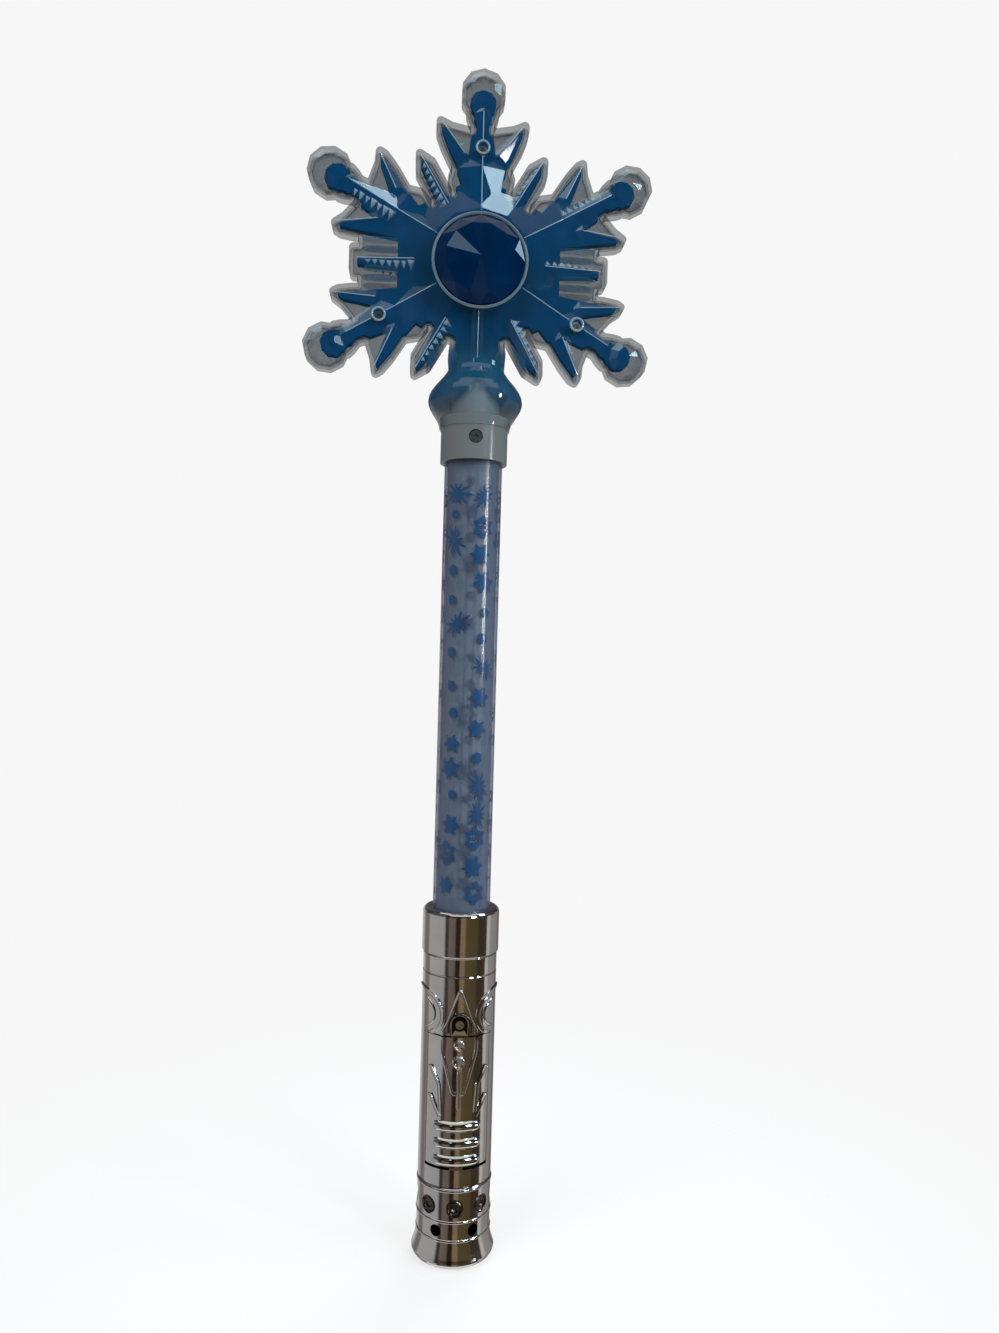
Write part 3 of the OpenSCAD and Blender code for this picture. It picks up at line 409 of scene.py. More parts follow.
def add_piece(name, points, faces, body, material, smooth=True, closed=False):
    """A mesh object from arrays of points and faces that rides on a body: places that coincide at its poles
    are joined, and the faces of a closed piece are turned outwards."""
    mesh = bpy.data.meshes.new(name)
    mesh.from_pydata(np.asarray(points).reshape(-1, 3).tolist(), [], np.asarray(faces).tolist())
    work = bmesh.new()
    work.from_mesh(mesh)
    bmesh.ops.remove_doubles(work, verts=work.verts, dist=JOIN_DISTANCE)
    if closed:
        bmesh.ops.recalc_face_normals(work, faces=work.faces)
    work.to_mesh(mesh)
    work.free()
    mesh.polygons.foreach_set("use_smooth", np.full(len(mesh.polygons), smooth))
    if smooth:
        mesh.set_sharp_from_angle(angle=SHARP_ANGLE)
    mesh.materials.append(material)
    mesh.validate()
    piece = bpy.data.objects.new(name, mesh)
    bpy.context.scene.collection.objects.link(piece)
    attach(piece, body)
    return piece


def on_flake(along, across, height, angle, face):
    """Places on the head: along and across an arm at an angle, with a height in front of (1) or behind (-1)
    its mid-plane."""
    x = along * np.cos(angle) - across * np.sin(angle)
    z = along * np.sin(angle) + across * np.cos(angle)
    return np.stack(np.broadcast_arrays(x * MM, -face * height * MM, FLAKE_MID + z * MM), axis=-1)


def round_axis(radius, turn, height):
    """Places round the wand's axis: a radius, a turn from the front and a height."""
    return np.stack([radius * np.sin(turn), -radius * np.cos(turn), height], axis=-1)


def between(pair, share):
    """The value at a share of the way between the two values on the last axis of a pair."""
    return pair[..., 0] + share * (pair[..., 1] - pair[..., 0])


def unit(vectors):
    """Vectors drawn to the length of one."""
    return vectors / np.linalg.norm(vectors, axis=1, keepdims=True)


def run_along(line):
    """The length along a line of places, at each of them."""
    return np.concatenate([[0], np.cumsum(np.linalg.norm(np.diff(line, axis=0), axis=1))])


def arc(x, z, radius, start, end, count=ARC_PLACES):
    """Places on an arc round a centre, between two angles in degrees."""
    turn = np.radians(np.linspace(start, end, count))
    return np.stack([x + radius * np.cos(turn), z + radius * np.sin(turn)], axis=1)


def walk(corners, count, closed=False):
    """Evenly spaced places along a line of corners, eased at the corners by a running mean."""
    if closed:
        corners = np.concatenate([corners, corners[:1]])
    run = run_along(corners)
    at = np.linspace(0, run[-1], count, endpoint=not closed)
    line = np.stack([np.interp(at, run, corners[:, 0]), np.interp(at, run, corners[:, 1])], axis=1)
    if closed:
        padded = np.concatenate([line[-EASE_REACH:], line, line[:EASE_REACH]])
    else:
        padded = np.pad(line, ((EASE_REACH, EASE_REACH), (0, 0)), mode="reflect", reflect_type="odd")
    span = 2 * EASE_REACH + 1
    ease = np.ones(span) / span
    return np.stack([np.convolve(padded[:, i], ease, mode="valid") for i in (0, 1)], axis=1)


def bead(line, half, rise, radius, closed=False):
    """A round bead on a cylinder: across the line it rises as a parabola, and an open bead ends in round
    tips. The line holds the arc length round the cylinder and the height."""
    if closed:
        way = np.roll(line, -1, axis=0) - np.roll(line, 1, axis=0)
        swell = np.ones(len(line))
    else:
        way = np.gradient(line, axis=0)
        run = run_along(line)
        near = np.clip(np.minimum(run, run[-1] - run) / half, 0, 1)
        swell = np.sqrt(1 - (1 - near) ** 2)
    way = unit(way)
    side = np.stack([-way[:, 1], way[:, 0]], axis=1)
    v = np.linspace(-1, 1, BEAD_COLUMNS)
    place = line[:, None] + v[None, :, None] * (half * swell)[:, None, None] * side[:, None]
    away = radius - BEAD_SINK + rise * swell[:, None] * (1 - v[None] ** 2)
    points = round_axis(away, place[..., 0] / radius, place[..., 1])
    return points.reshape(-1, 3), grid_quads(len(line), len(v), closed)


def gather(parts):
    """Joins lists of points and faces into one pair of arrays."""
    starts = np.cumsum([0] + [len(points) for points, _ in parts])
    points = np.concatenate([points for points, _ in parts])
    return points, np.concatenate([faces + start for (_, faces), start in zip(parts, starts)])


# Materials


def finish_nodes(material, *nodes):
    """Gives CAD nodes their finish."""
    for node in nodes:
        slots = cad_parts[node].data.materials
        slots.clear()
        slots.append(material)


def finish_of(node):
    """The finish that a CAD node carries."""
    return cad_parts[node].data.materials[0]


def feed(node, values):
    """Gives sockets of a shader node a plain value each, or the output that feeds it."""
    for socket, value in values.items():
        if isinstance(value, bpy.types.NodeSocket):
            node.id_data.links.new(value, node.inputs[socket])
        else:
            node.inputs[socket].default_value = value


def add_node(tree, kind, values=None, **settings):
    """A shader node of a kind, with its settings and what feeds its sockets."""
    node = tree.nodes.new("ShaderNode" + kind)
    for name, value in settings.items():
        setattr(node, name, value)
    feed(node, values or {})
    return node


def new_material(name):
    """A material with nodes."""
    material = bpy.data.materials.new(name)
    material.use_nodes = True
    return material


def shader_of(material):
    """The main shader of a material."""
    return material.node_tree.nodes["Principled BSDF"]


def colour_of(material):
    """The output that feeds the colour of a finish."""
    return shader_of(material).inputs["Base Color"].links[0].from_socket


def drift_group():
    """Node group: a colour and a roughness that drift with soft noise, and a fine height for a bump."""
    name = "surface_drift"
    if name in bpy.data.node_groups:
        return bpy.data.node_groups[name]
    group = bpy.data.node_groups.new(name, "ShaderNodeTree")
    sockets = {
        "INPUT": {"Vector": "Vector", "Light": "Color", "Dark": "Color", "Smooth": "Float", "Rough": "Float",
                  "Scale": "Float", "Grain": "Float"},
        "OUTPUT": {"Color": "Color", "Roughness": "Float", "Height": "Float"},
    }
    for way, kinds in sockets.items():
        for label, kind in kinds.items():
            group.interface.new_socket(label, in_out=way, socket_type="NodeSocket" + kind)
    source = group.nodes.new("NodeGroupInput").outputs
    place = source["Vector"]
    broad = add_node(group, "TexNoise", {"Vector": place, "Scale": source["Scale"], "Detail": BROAD_DETAIL})
    fine = add_node(group, "TexNoise", {"Vector": place, "Scale": source["Grain"], "Detail": FINE_DETAIL})
    blend = add_node(
        group, "Mix", {"Factor": broad.outputs["Fac"], "A": source["Dark"], "B": source["Light"]},
        data_type="RGBA")
    span = add_node(group, "MapRange", {
        "Value": fine.outputs["Fac"], "From Min": NOISE_SPAN[0], "From Max": NOISE_SPAN[1],
        "To Min": source["Smooth"], "To Max": source["Rough"]})
    feed(group.nodes.new("NodeGroupOutput"), {
        "Color": blend.outputs["Result"], "Roughness": span.outputs["Result"],
        "Height": fine.outputs["Fac"]})
    return group


def finish(name, colour, smooth, rough, drift=0.18, scale=60, grain=900, bump=0.02, metal=0.0, **plain):
    """A material whose colour and roughness drift, with plain values for the shader's sockets."""
    material = new_material(name)
    tree = material.node_tree
    colour = np.asarray(colour, float)
    place = add_node(tree, "TexCoord").outputs["Object"]
    drifting = add_node(tree, "Group", {
        "Vector": place, "Scale": scale, "Grain": grain, "Smooth": smooth, "Rough": rough,
        "Light": (*np.minimum(colour * (1 + drift), 1), 1), "Dark": (*(colour * (1 - drift)), 1),
    }, node_tree=drift_group()).outputs
    relief = add_node(
        tree, "Bump", {"Strength": bump, "Distance": BUMP_DEPTH, "Height": drifting["Height"]})
    shader = shader_of(material)
    feed(shader, {
        "Base Color": drifting["Color"], "Roughness": drifting["Roughness"], "Metallic": metal,
        "Normal": relief.outputs["Normal"]})
    feed(shader, {socket.replace("_", " "): value for socket, value in plain.items()})
    return material


def blend_in(tree, mask, under, over):
    """Mixes a value or a colour over another one where a mask is one."""
    if np.ndim(over):
        node = add_node(tree, "Mix", {"Factor": mask, "A": under, "B": (*over, 1)}, data_type="RGBA")
    else:
        node = add_node(tree, "Mix", {"Factor": mask, "A": under, "B": over})
    return node.outputs["Result"]


def ramp(tree, value, start, end, **settings):
    """Runs from zero to one while a value goes from start to end."""
    span = add_node(tree, "MapRange", {"Value": value, "From Min": start, "From Max": end}, **settings)
    return span.outputs["Result"]


def combine(tree, operation, *values):
    """A sum, product, size or larger one of values."""
    return add_node(tree, "Math", dict(enumerate(values)), operation=operation).outputs[0]


def places(tree):
    """The x and z places on the object."""
    place = add_node(tree, "TexCoord").outputs["Object"]
    parts = add_node(tree, "SeparateXYZ", {0: place}).outputs
    return parts["X"], parts["Z"]


def distance(tree, centre):
    """How far a place on the object lies from a centre."""
    place = add_node(tree, "TexCoord").outputs["Object"]
    return add_node(tree, "VectorMath", {0: place, 1: centre}, operation="DISTANCE").outputs["Value"]


def painted_facet_light_mask(tree):
    """One on the steep facets that face up and to the left, outside the hub, where their light is painted.
    """
    normal = add_node(tree, "NewGeometry").outputs["True Normal"]
    toward = add_node(tree, "VectorMath", {0: normal, 1: LIT_FACET_WAY}, operation="DOT_PRODUCT")
    steep = ramp(tree, toward.outputs["Value"], *FACET_FADE)
    outside = ramp(tree, distance(tree, (0, 0, FLAKE_MID)), *HUB_FADE)
    return combine(tree, "MULTIPLY", steep, outside)


def painted_bell_blue_mask(tree):
    """One on the bell's upper flanks, where the insert's bent light is painted: the product of fades along
    the width, the height and their sum.
    """
    x, z = places(tree)
    wide = combine(tree, "ABSOLUTE", x)
    slant = combine(tree, "ADD", wide, z)
    mask = ramp(tree, wide, *BELL_SIDE_FADE)
    for value, fade in ((slant, BELL_FLANK_FADE), (z, BELL_FOOT_FADE), (z, BELL_TOP_FADE)):
        mask = combine(tree, "MULTIPLY", mask, ramp(tree, value, *fade))
    return mask


def see_through(material, front, edge, blend=0.35, shade=0.1, light_veils=()):
    """Makes a finish clear: its alpha runs from front, face on, to edge at a grazing angle, with shade for
    shadows. Each light veil is a mask with the colour and the alpha of painted light that hold there."""
    tree = material.node_tree
    facing = add_node(tree, "LayerWeight", {"Blend": blend}).outputs["Facing"]
    span = add_node(tree, "MapRange", {"Value": facing, "To Min": front, "To Max": edge})
    alpha, colour = span.outputs["Result"], colour_of(material)
    for mask, light_colour, cover in light_veils:
        alpha = blend_in(tree, mask, alpha, cover)
        colour = blend_in(tree, mask, colour, light_colour)
    shadow = add_node(tree, "LightPath").outputs["Is Shadow Ray"]
    feed(shader_of(material), {"Base Color": colour, "Alpha": blend_in(tree, shadow, alpha, shade)})
    return material


def paint_over(material, mask, colour):
    """Changes a finish to another colour where a mask is one."""
    painted = blend_in(material.node_tree, mask, colour_of(material), colour)
    feed(shader_of(material), {"Base Color": painted})


def background_rays(tree):
    """One for camera, glossy and transmission rays, the largest of their marks in Light Path."""
    path = add_node(tree, "LightPath").outputs
    seen = combine(tree, "MAXIMUM", path["Is Camera Ray"], path["Is Glossy Ray"])
    return combine(tree, "MAXIMUM", seen, path["Is Transmission Ray"])


# Shaft


def motif_outlines(kind, turn, size):
    """Turn, inner and outer radius of each motif at each ray. A hexagon's radius is its flat's over the
    cosine of the angle from the flat. A star and an open flake swell six times with a power of a cosine,
    and the flake has barbs as bell curves and a wavy hole. A feathery flake swells ten times, most along
    one line."""
    phase = circle(MOTIF_RAYS)[None, :]
    from_flat = (phase + np.pi / 6) % (np.pi / 3) - np.pi / 6
    six = np.abs(np.cos(3 * phase))
    ten = np.abs(np.cos(5 * phase))
    hexagon = HEXAGON_FLAT_SHARE / np.cos(from_flat)
    star = STAR_CORE_SHARE + (1 - STAR_CORE_SHARE) * six ** STAR_POWER
    barbs = BARB_SHARE * np.exp(-((np.abs(from_flat) - BARB_ANGLE) / BARB_WIDTH) ** 2)
    flake = FLAKE_CORE_SHARE + (1 - FLAKE_CORE_SHARE) * six ** FLAKE_POWER + barbs
    wave = 1 - FEATHER_WAVE_SHARE + FEATHER_WAVE_SHARE * np.cos(2 * phase)
    feather = FEATHER_CORE_SHARE + (1 - FEATHER_CORE_SHARE) * ten ** FEATHER_POWER * wave
    outer = np.concatenate([hexagon, star, flake, feather])
    middle = np.zeros_like(phase)
    hole = FLAKE_HOLE_SHARE + HOLE_WAVE_SHARE * np.cos(6 * phase)
    inner = np.concatenate([middle, middle, hole, middle])
    return phase + turn[:, None], inner[kind] * size[:, None], outer[kind] * size[:, None]


class WAND_OT_printed_motifs(bpy.types.Operator):
    """Ink motifs printed round the film in the tube"""

    bl_idname = "wand.printed_motifs"
    bl_label = "Printed motifs"

    def execute(self, context):
        sizes, colours = wand_settings(context)
        ink = finish("printed_ink", colours.ink, smooth=0.35, rough=0.5, drift=0.22, **INK)
        pale = finish("pale_ink", colours.pale_ink, smooth=0.4, rough=0.55, drift=0.2, Alpha=0.42, **INK)
        self.columns(sizes, "printed_motifs", INK_COLUMNS, INK_SEED, ink)
        self.columns(sizes, "pale_motifs", PALE_COLUMNS, PALE_SEED, pale)
        return {"FINISHED"}

    def columns(self, sizes, name, columns, seed, material):
        """Columns of motifs up the tube at angles from the camera: rings of places round each motif's
        centre, from its inner to its outer outline, wrapped round the tube. An open flake has a small star
        in it."""
        rng = np.random.default_rng(seed)
        low, high = FERRULE_TOP + PRINT_FOOT, COLLAR_FOOT - PRINT_HEAD
        rows = int((high - low) / sizes.print_step)
        step = (high - low) / rows
        row, column = np.meshgrid(np.arange(rows), np.arange(len(columns)), indexing="ij")
        row, column = row.ravel(), column.ravel()
        count = len(row)
        around = sizes.camera_turn + np.radians(columns)[column]
        around = around + rng.uniform(-TURN_SPREAD, TURN_SPREAD, count)
        stagger = STAGGER_SHARE * (-1.0) ** column
        up = row + 0.5 + stagger + rng.uniform(-RISE_SPREAD_SHARE, RISE_SPREAD_SHARE, count)
        up = low + up * step
        kind = rng.choice(len(MOTIF_SHARES), count, p=MOTIF_SHARES)
        size = MOTIF_SIZES[kind] * rng.uniform(*MOTIF_SPREAD, count) * MM
        turn = rng.uniform(0, FULL_TURN, count)
        open_flakes = kind == OPEN_FLAKE
        around, up, turn = (np.concatenate([a, a[open_flakes]]) for a in (around, up, turn))
        kind = np.concatenate([kind, np.full(open_flakes.sum(), STAR)])
        size = np.concatenate([size, FLAKE_MIDDLE_SHARE * size[open_flakes]])
        up = np.clip(up, low + size, high - size)
        angle, inner, outer = motif_outlines(kind, turn, size)
        share = np.linspace(0, 1, MOTIF_RINGS)[None, :, None]
        radius = inner[:, None] + share * (outer - inner)[:, None]
        theta = around[:, None, None] + radius * np.cos(angle[:, None]) / sizes.film_radius
        points = round_axis(sizes.film_radius, theta, up[:, None, None] + radius * np.sin(angle[:, None]))
        ray, ring = np.meshgrid(np.arange(MOTIF_RAYS), np.arange(MOTIF_RINGS - 1), indexing="ij")
        here, after = ring * MOTIF_RAYS + ray, ring * MOTIF_RAYS + (ray + 1) % MOTIF_RAYS
        one = np.stack([here, here + MOTIF_RAYS, after + MOTIF_RAYS, after], axis=-1).reshape(-1, 4)
        faces = repeat_faces(one, MOTIF_RINGS * MOTIF_RAYS, len(kind))
        piece = add_piece(name, points, faces, WAND, material)


class WAND_OT_shaft(bpy.types.Operator):
    """Clear tube, film and collar"""

    bl_idname = "wand.shaft"
    bl_label = "Shaft"

    def execute(self, context):
        colours = context.scene.wand_colours
        tube = finish("clear_tube", colours.tube, smooth=0.10, rough=0.16, bump=0.0, IOR=PLASTIC_IOR)
        finish_nodes(see_through(tube, front=0.10, edge=0.95, blend=0.5), "shaft_tube")
        film = finish("printed_film", colours.film, smooth=0.4, rough=0.55, drift=0.1, scale=90)
        finish_nodes(see_through(film, front=0.55, edge=0.7), "print_liner")
        collar = finish("milky_collar", colours.collar, smooth=0.12, rough=0.2, drift=0.06, scale=40)
        tree = collar.node_tree
        # Painted light: lighter and bluer steps up the collar inside the bell
        for rise, fade, colour in COLLAR_LIGHT_STEPS:
            start = BELL_LOW + rise
            paint_over(collar, ramp(tree, places(tree)[1], start, start + fade), colour)
        finish_nodes(collar, "collar")
        return {"FINISHED"}


# Head


class WAND_OT_head(bpy.types.Operator):
    """Clear shells, blue insert, stones and rings of the head"""

    bl_idname = "wand.head"
    bl_label = "Head"

    def execute(self, context):
        colours = context.scene.wand_colours
        shell = finish(
            "clear_shell", colours.shell, smooth=0.04, rough=0.1, drift=0.3, scale=90, IOR=PLASTIC_IOR)
        tree = shell.node_tree
        # The veils paint light on the upward facets, and the insert's blue bent through the bell
        light_veils = ((painted_facet_light_mask(tree), colours.facet_light, FACET_LIGHT_COVER), (painted_bell_blue_mask(tree), colours.bell, BELL_BLUE_COVER))
        see_through(shell, front=0.36, edge=0.64, light_veils=light_veils)
        finish_nodes(shell, "head_front_shell", "head_back_shell")
        insert = finish(
            "blue_insert", colours.insert, smooth=0.3, rough=0.45, drift=0.4, scale=160,
            Specular_IOR_Level=0.0)
        finish_nodes(insert, "flake_insert")
        stone = finish(
            "stone", colours.stone, smooth=0.02, rough=0.05, drift=0.5, scale=70, bump=0.0, IOR=STONE_IOR)
        finish_nodes(stone, "front_gem", "back_gem")
        ring = finish("pale_ring", colours.ring, smooth=0.15, rough=0.25, drift=0.1)
        finish_nodes(ring, "front_bezel", "back_bezel")
        return {"FINISHED"}


class WAND_OT_web_ribs(bpy.types.Operator):
    """Ribs across the webs at the head's two sides"""

    bl_idname = "wand.web_ribs"
    bl_label = "Web ribs"

    def execute(self, context):
        """Ribs as length and width: across a rib the height is half a cosine wave, and towards both ends
        width and height shrink with the root of one less a fourth power."""
        sizes, colours = wand_settings(context)
        along = np.linspace(0, 1, RIB_STEPS)
        across = np.linspace(-1, 1, RIB_COLUMNS)
        s, f, c, u, v = np.meshgrid(
            BOTH_SIDES, BOTH_SIDES, RIB_ROWS * sizes.rib_pitch, along, across, indexing="ij")
        taper = np.sqrt(np.clip(1 - (2 * u - 1) ** 4, 0, 1))
        x = s * between(np.array(RIB_ENDS), u)
        y = f * (WEB_HEIGHT + RIB_RISE * np.cos(v * np.pi / 2) * taper)
        z = FLAKE_MID + c + v * taper * sizes.rib_width / 2
        one = grid_quads(len(along), len(across))
        side = (s * f)[..., 0, 0].ravel()
        faces = repeat_faces(one, len(along) * len(across), len(side))
        turned = np.repeat(side > 0, len(one))
        faces[turned] = faces[turned][:, ::-1]
        ribs = finish(
            "web_ribs", colours.ribs, smooth=0.05, rough=0.12, drift=0.3, scale=90, IOR=PLASTIC_IOR)
        see_through(ribs, front=0.45, edge=0.64)
        piece = add_piece("web_ribs", np.stack([x, y, z], axis=-1), faces, WAND, ribs)
        return {"FINISHED"}


class WAND_OT_ridge_lines(bpy.types.Operator):
    """Fine round lines along the ridges of the head, pale as painted highlights"""

    bl_idname = "wand.ridge_lines"
    bl_label = "Ridge highlights"

    def execute(self, context):
        """Tubes round straight lines: a circle moved along each ridge and drawn together at both ends."""
        sizes, colours = wand_settings(context)
        far_barb = np.array(BARB_RIDGE) * [1, -1, 1]
        plans = (
            (BLADE_RIDGE, (*ARM_ANGLES, LOWER_ARM_ANGLE)), (STEM_RIDGE, PLAIN_ANGLES),
            (CRYSTAL_RIDGE, CRYSTAL_ANGLES), (STEM_FOOT_RIDGE, SCREW_ANGLES), (STEM_TIP_RIDGE, SCREW_ANGLES),
            (BARB_RIDGE, ARM_ANGLES), (far_barb, ARM_ANGLES),
        )
        ends = np.array([ridge for ridge, angles in plans for _ in angles])[:, None]
        angle = np.concatenate([angles for _, angles in plans])[:, None, None]
        face = BOTH_SIDES[None, :, None]
        spine = on_flake(ends[..., 0], ends[..., 1], ends[..., 2], angle, face).reshape(-1, 2, 3)
        way = spine[:, 1] - spine[:, 0]
        side = unit(np.cross(unit(way), [0, 1, 0]))
        lift = np.cross(side, unit(way))
        turn = circle(LINE_SIDES)
        path = spine[:, None, 0] + LINE_SHARES[None, :, None] * way[:, None]
        ring = np.cos(turn)[None, :, None] * side[:, None] + np.sin(turn)[None, :, None] * lift[:, None]
        points = path[:, None] + ring[:, :, None] * sizes.glint_radius * LINE_SWELLS[None, None, :, None]
        one = grid_quads(LINE_SIDES, len(LINE_SHARES), closed=True)
        faces = repeat_faces(one, LINE_SIDES * len(LINE_SHARES), len(spine))
        # Painted highlight: the lines are pale for the light that the ridges' edges catch
        pale = finish(
            "ridge_lines", colours.glint, smooth=0.1, rough=0.2, drift=0.2, scale=150, IOR=LINE_IOR)
        see_through(pale, front=0.45, edge=0.7)
        piece = add_piece("ridge_lines", points, faces, WAND, pale, closed=True)
        return {"FINISHED"}


class WAND_OT_screw_rings(bpy.types.Operator):
    """Round rims on the bosses of the head screws, pale as painted highlights"""

    bl_idname = "wand.screw_rings"
    bl_label = "Screw rings"

    def execute(self, context):
        """Rims as turn and place across: half an ellipse across the rim is swept round each screw."""
        along, radius, high = SCREW_BOSS
        turn = circle(RIM_ROWS)
        across = np.linspace(-1, 1, RIM_COLUMNS)
        a, t, v = np.meshgrid(SCREW_ANGLES, turn, across, indexing="ij")
        away = radius + RIM_HALF * v
        height = high - RIM_SINK + RIM_RISE * np.sqrt(1 - v ** 2)
        points = on_flake(along + away * np.cos(t), away * np.sin(t), height, a, 1.0)
        one = grid_quads(len(turn), len(across), closed=True)[:, ::-1]
        faces = repeat_faces(one, t[0].size, len(SCREW_ANGLES))
        # Painted highlight: the rims take the pale finish of the ridge lines
        piece = add_piece("screw_rings", points, faces, WAND, bpy.data.materials["ridge_lines"])
        return {"FINISHED"}


class WAND_OT_crystal_teeth(bpy.types.Operator):
    """Rows of small teeth on the flanks of the crystals and arms, tinted pale as painted glints"""

    bl_idname = "wand.crystal_teeth"
    bl_label = "Crystal teeth"

    def execute(self, context):
        """Three-sided pyramids whose foot lies on a ridge's flank: the flank falls evenly from the ridge to
        the plate, and the teeth shrink along it."""
        sizes, colours = wand_settings(context)
        half = sizes.tooth / MM
        plans = [(CRYSTAL_RIDGE, a, *CRYSTAL_TEETH) for a in CRYSTAL_ANGLES]
        plans += [(STEM_RIDGE, a, *STEM_TEETH) for a in PLAIN_ANGLES]
        ends, angle, offset, width = (np.array(column) for column in zip(*plans))
        p, f, k, c = np.meshgrid(
            np.arange(len(plans)), BOTH_SIDES, TOOTH_PLACES, np.arange(len(TOOTH_CORNERS)), indexing="ij")
        rng = np.random.default_rng(TOOTH_SEED)
        shrink = (1 - TOOTH_TAPER_SHARE * k) * rng.uniform(*TOOTH_SPREAD, p.shape[:-1])[..., None]
        tooth = TOOTH_CORNERS[c]
        along = between(ends[p, :, 0], k) + tooth[..., 0] * half * TOOTH_LENGTH_SHARE * shrink
        reach = between(width[p], k)
        across = np.minimum(offset[p], ROW_LIMIT_SHARE * reach)
        across = across + tooth[..., 1] * np.minimum(half * shrink, WIDTH_LIMIT_SHARE * reach)
        crest = between(ends[p, :, 2], k)
        flank = crest - (crest - PLATE_HEIGHT) * np.clip(across / reach, 0, 1)
        height = flank - TOOTH_SINK + TOOTH_RISE * shrink * (c == TOOTH_TIP)
        points = on_flake(along, across, height, angle[p], f)
        faces = repeat_faces(TOOTH_SIDES, len(TOOTH_CORNERS), p[..., 0].size)
        # Painted glint: the teeth are tinted pale for the light they catch
        clear = finish(
            "crystal_teeth", colours.teeth, smooth=0.08, rough=0.15, scale=200, IOR=PLASTIC_IOR)
        see_through(clear, front=0.45, edge=0.7)
        piece = add_piece("crystal_teeth", points, faces, WAND, clear, smooth=False, closed=True)
        return {"FINISHED"}


# Handle


class WAND_OT_handle(bpy.types.Operator):
    """Plated handle with its door, foot, top ring and button"""

    bl_idname = "wand.handle"
    bl_label = "Handle"

    def execute(self, context):
        colours = context.scene.wand_colours
        plated = finish(
            "plated", colours.plating, smooth=0.05, rough=0.13, drift=0.1, scale=120, bump=0.012, metal=1.0)
        finish_nodes(plated, "ferrule", "barrel_front", "barrel_back", "pommel", "battery_door")
        # Painted shade: darker plating for the recess discs and the screw's arch
        finish("painted_shade_plating", colours.painted_shade, smooth=0.22, rough=0.36, drift=0.25, **STEEL)
        finish_nodes(finish("button_blue", colours.button, smooth=0.2, rough=0.3), "push_button")
        return {"FINISHED"}


class WAND_OT_raised_lines(bpy.types.Operator):
    """Round raised lines, ribs and rims on the door and the barrel"""

    bl_idname = "wand.raised_lines"
    bl_label = "Raised lines"

    def execute(self, context):
        """Beads along flat patterns of places across and up, wrapped round the grip from its front."""
        grip = context.scene.wand_sizes.grip_radius

        def line(corners, shape=LINE_BEAD, side=1.0, count=LINE_PLACES, closed=False):
            flat = np.asarray(corners, float) * MM
            around = side * grip * np.arcsin(flat[:, 0] / grip)
            round_grip = np.stack([around, DOOR_TOP + flat[:, 1]], axis=1)
            half, rise = shape
            return bead(walk(round_grip, count, closed), half * MM, rise * MM, grip, closed)

        door = [line(corners, side=side) for side in BOTH_SIDES for corners in FEATHER_LINES]
        door.append(line(SPINE_LINE, SPINE_BEAD))
        for height, radius in EYELETS:
            eyelet = arc(0, height, radius, 0, 360, EYELET_PLACES + 1)[:-1]
            door.append(line(eyelet, EYELET_BEAD, count=EYELET_PLACES, closed=True))
        for height in DOOR_RIB_HEIGHTS:
            door.append(line([(-DOOR_RIB_REACH, height), (DOOR_RIB_REACH, height)], DOOR_RIB_BEAD))
        barrel = [line(KITE_LINE, count=KITE_PLACES)]
        for radius, start, end, shape in SWIRLS:
            barrel += [line(arc(*SWIRL_CENTRE, radius, start, end), shape, side) for side in BOTH_SIDES]
        crown = arc(0, ARCH_CENTRE, ARCH_RADIUS, 0, 180)
        arch = [line([(ARCH_RADIUS, ARCH_FEET), *crown, (-ARCH_RADIUS, ARCH_FEET)], ARCH_BEAD)]
        # The arch over the screw takes the darker plating of painted shade
        plated, painted_shade = finish_of("ferrule"), bpy.data.materials["painted_shade_plating"]
        rows = (
            ("door_lines", DOOR, door, plated), ("barrel_lines", WAND, barrel, plated),
            ("screw_arch", WAND, arch, painted_shade),
        )
        for name, body, parts, material in rows:
            piece = add_piece(name, *gather(parts), body, material)
        return {"FINISHED"}


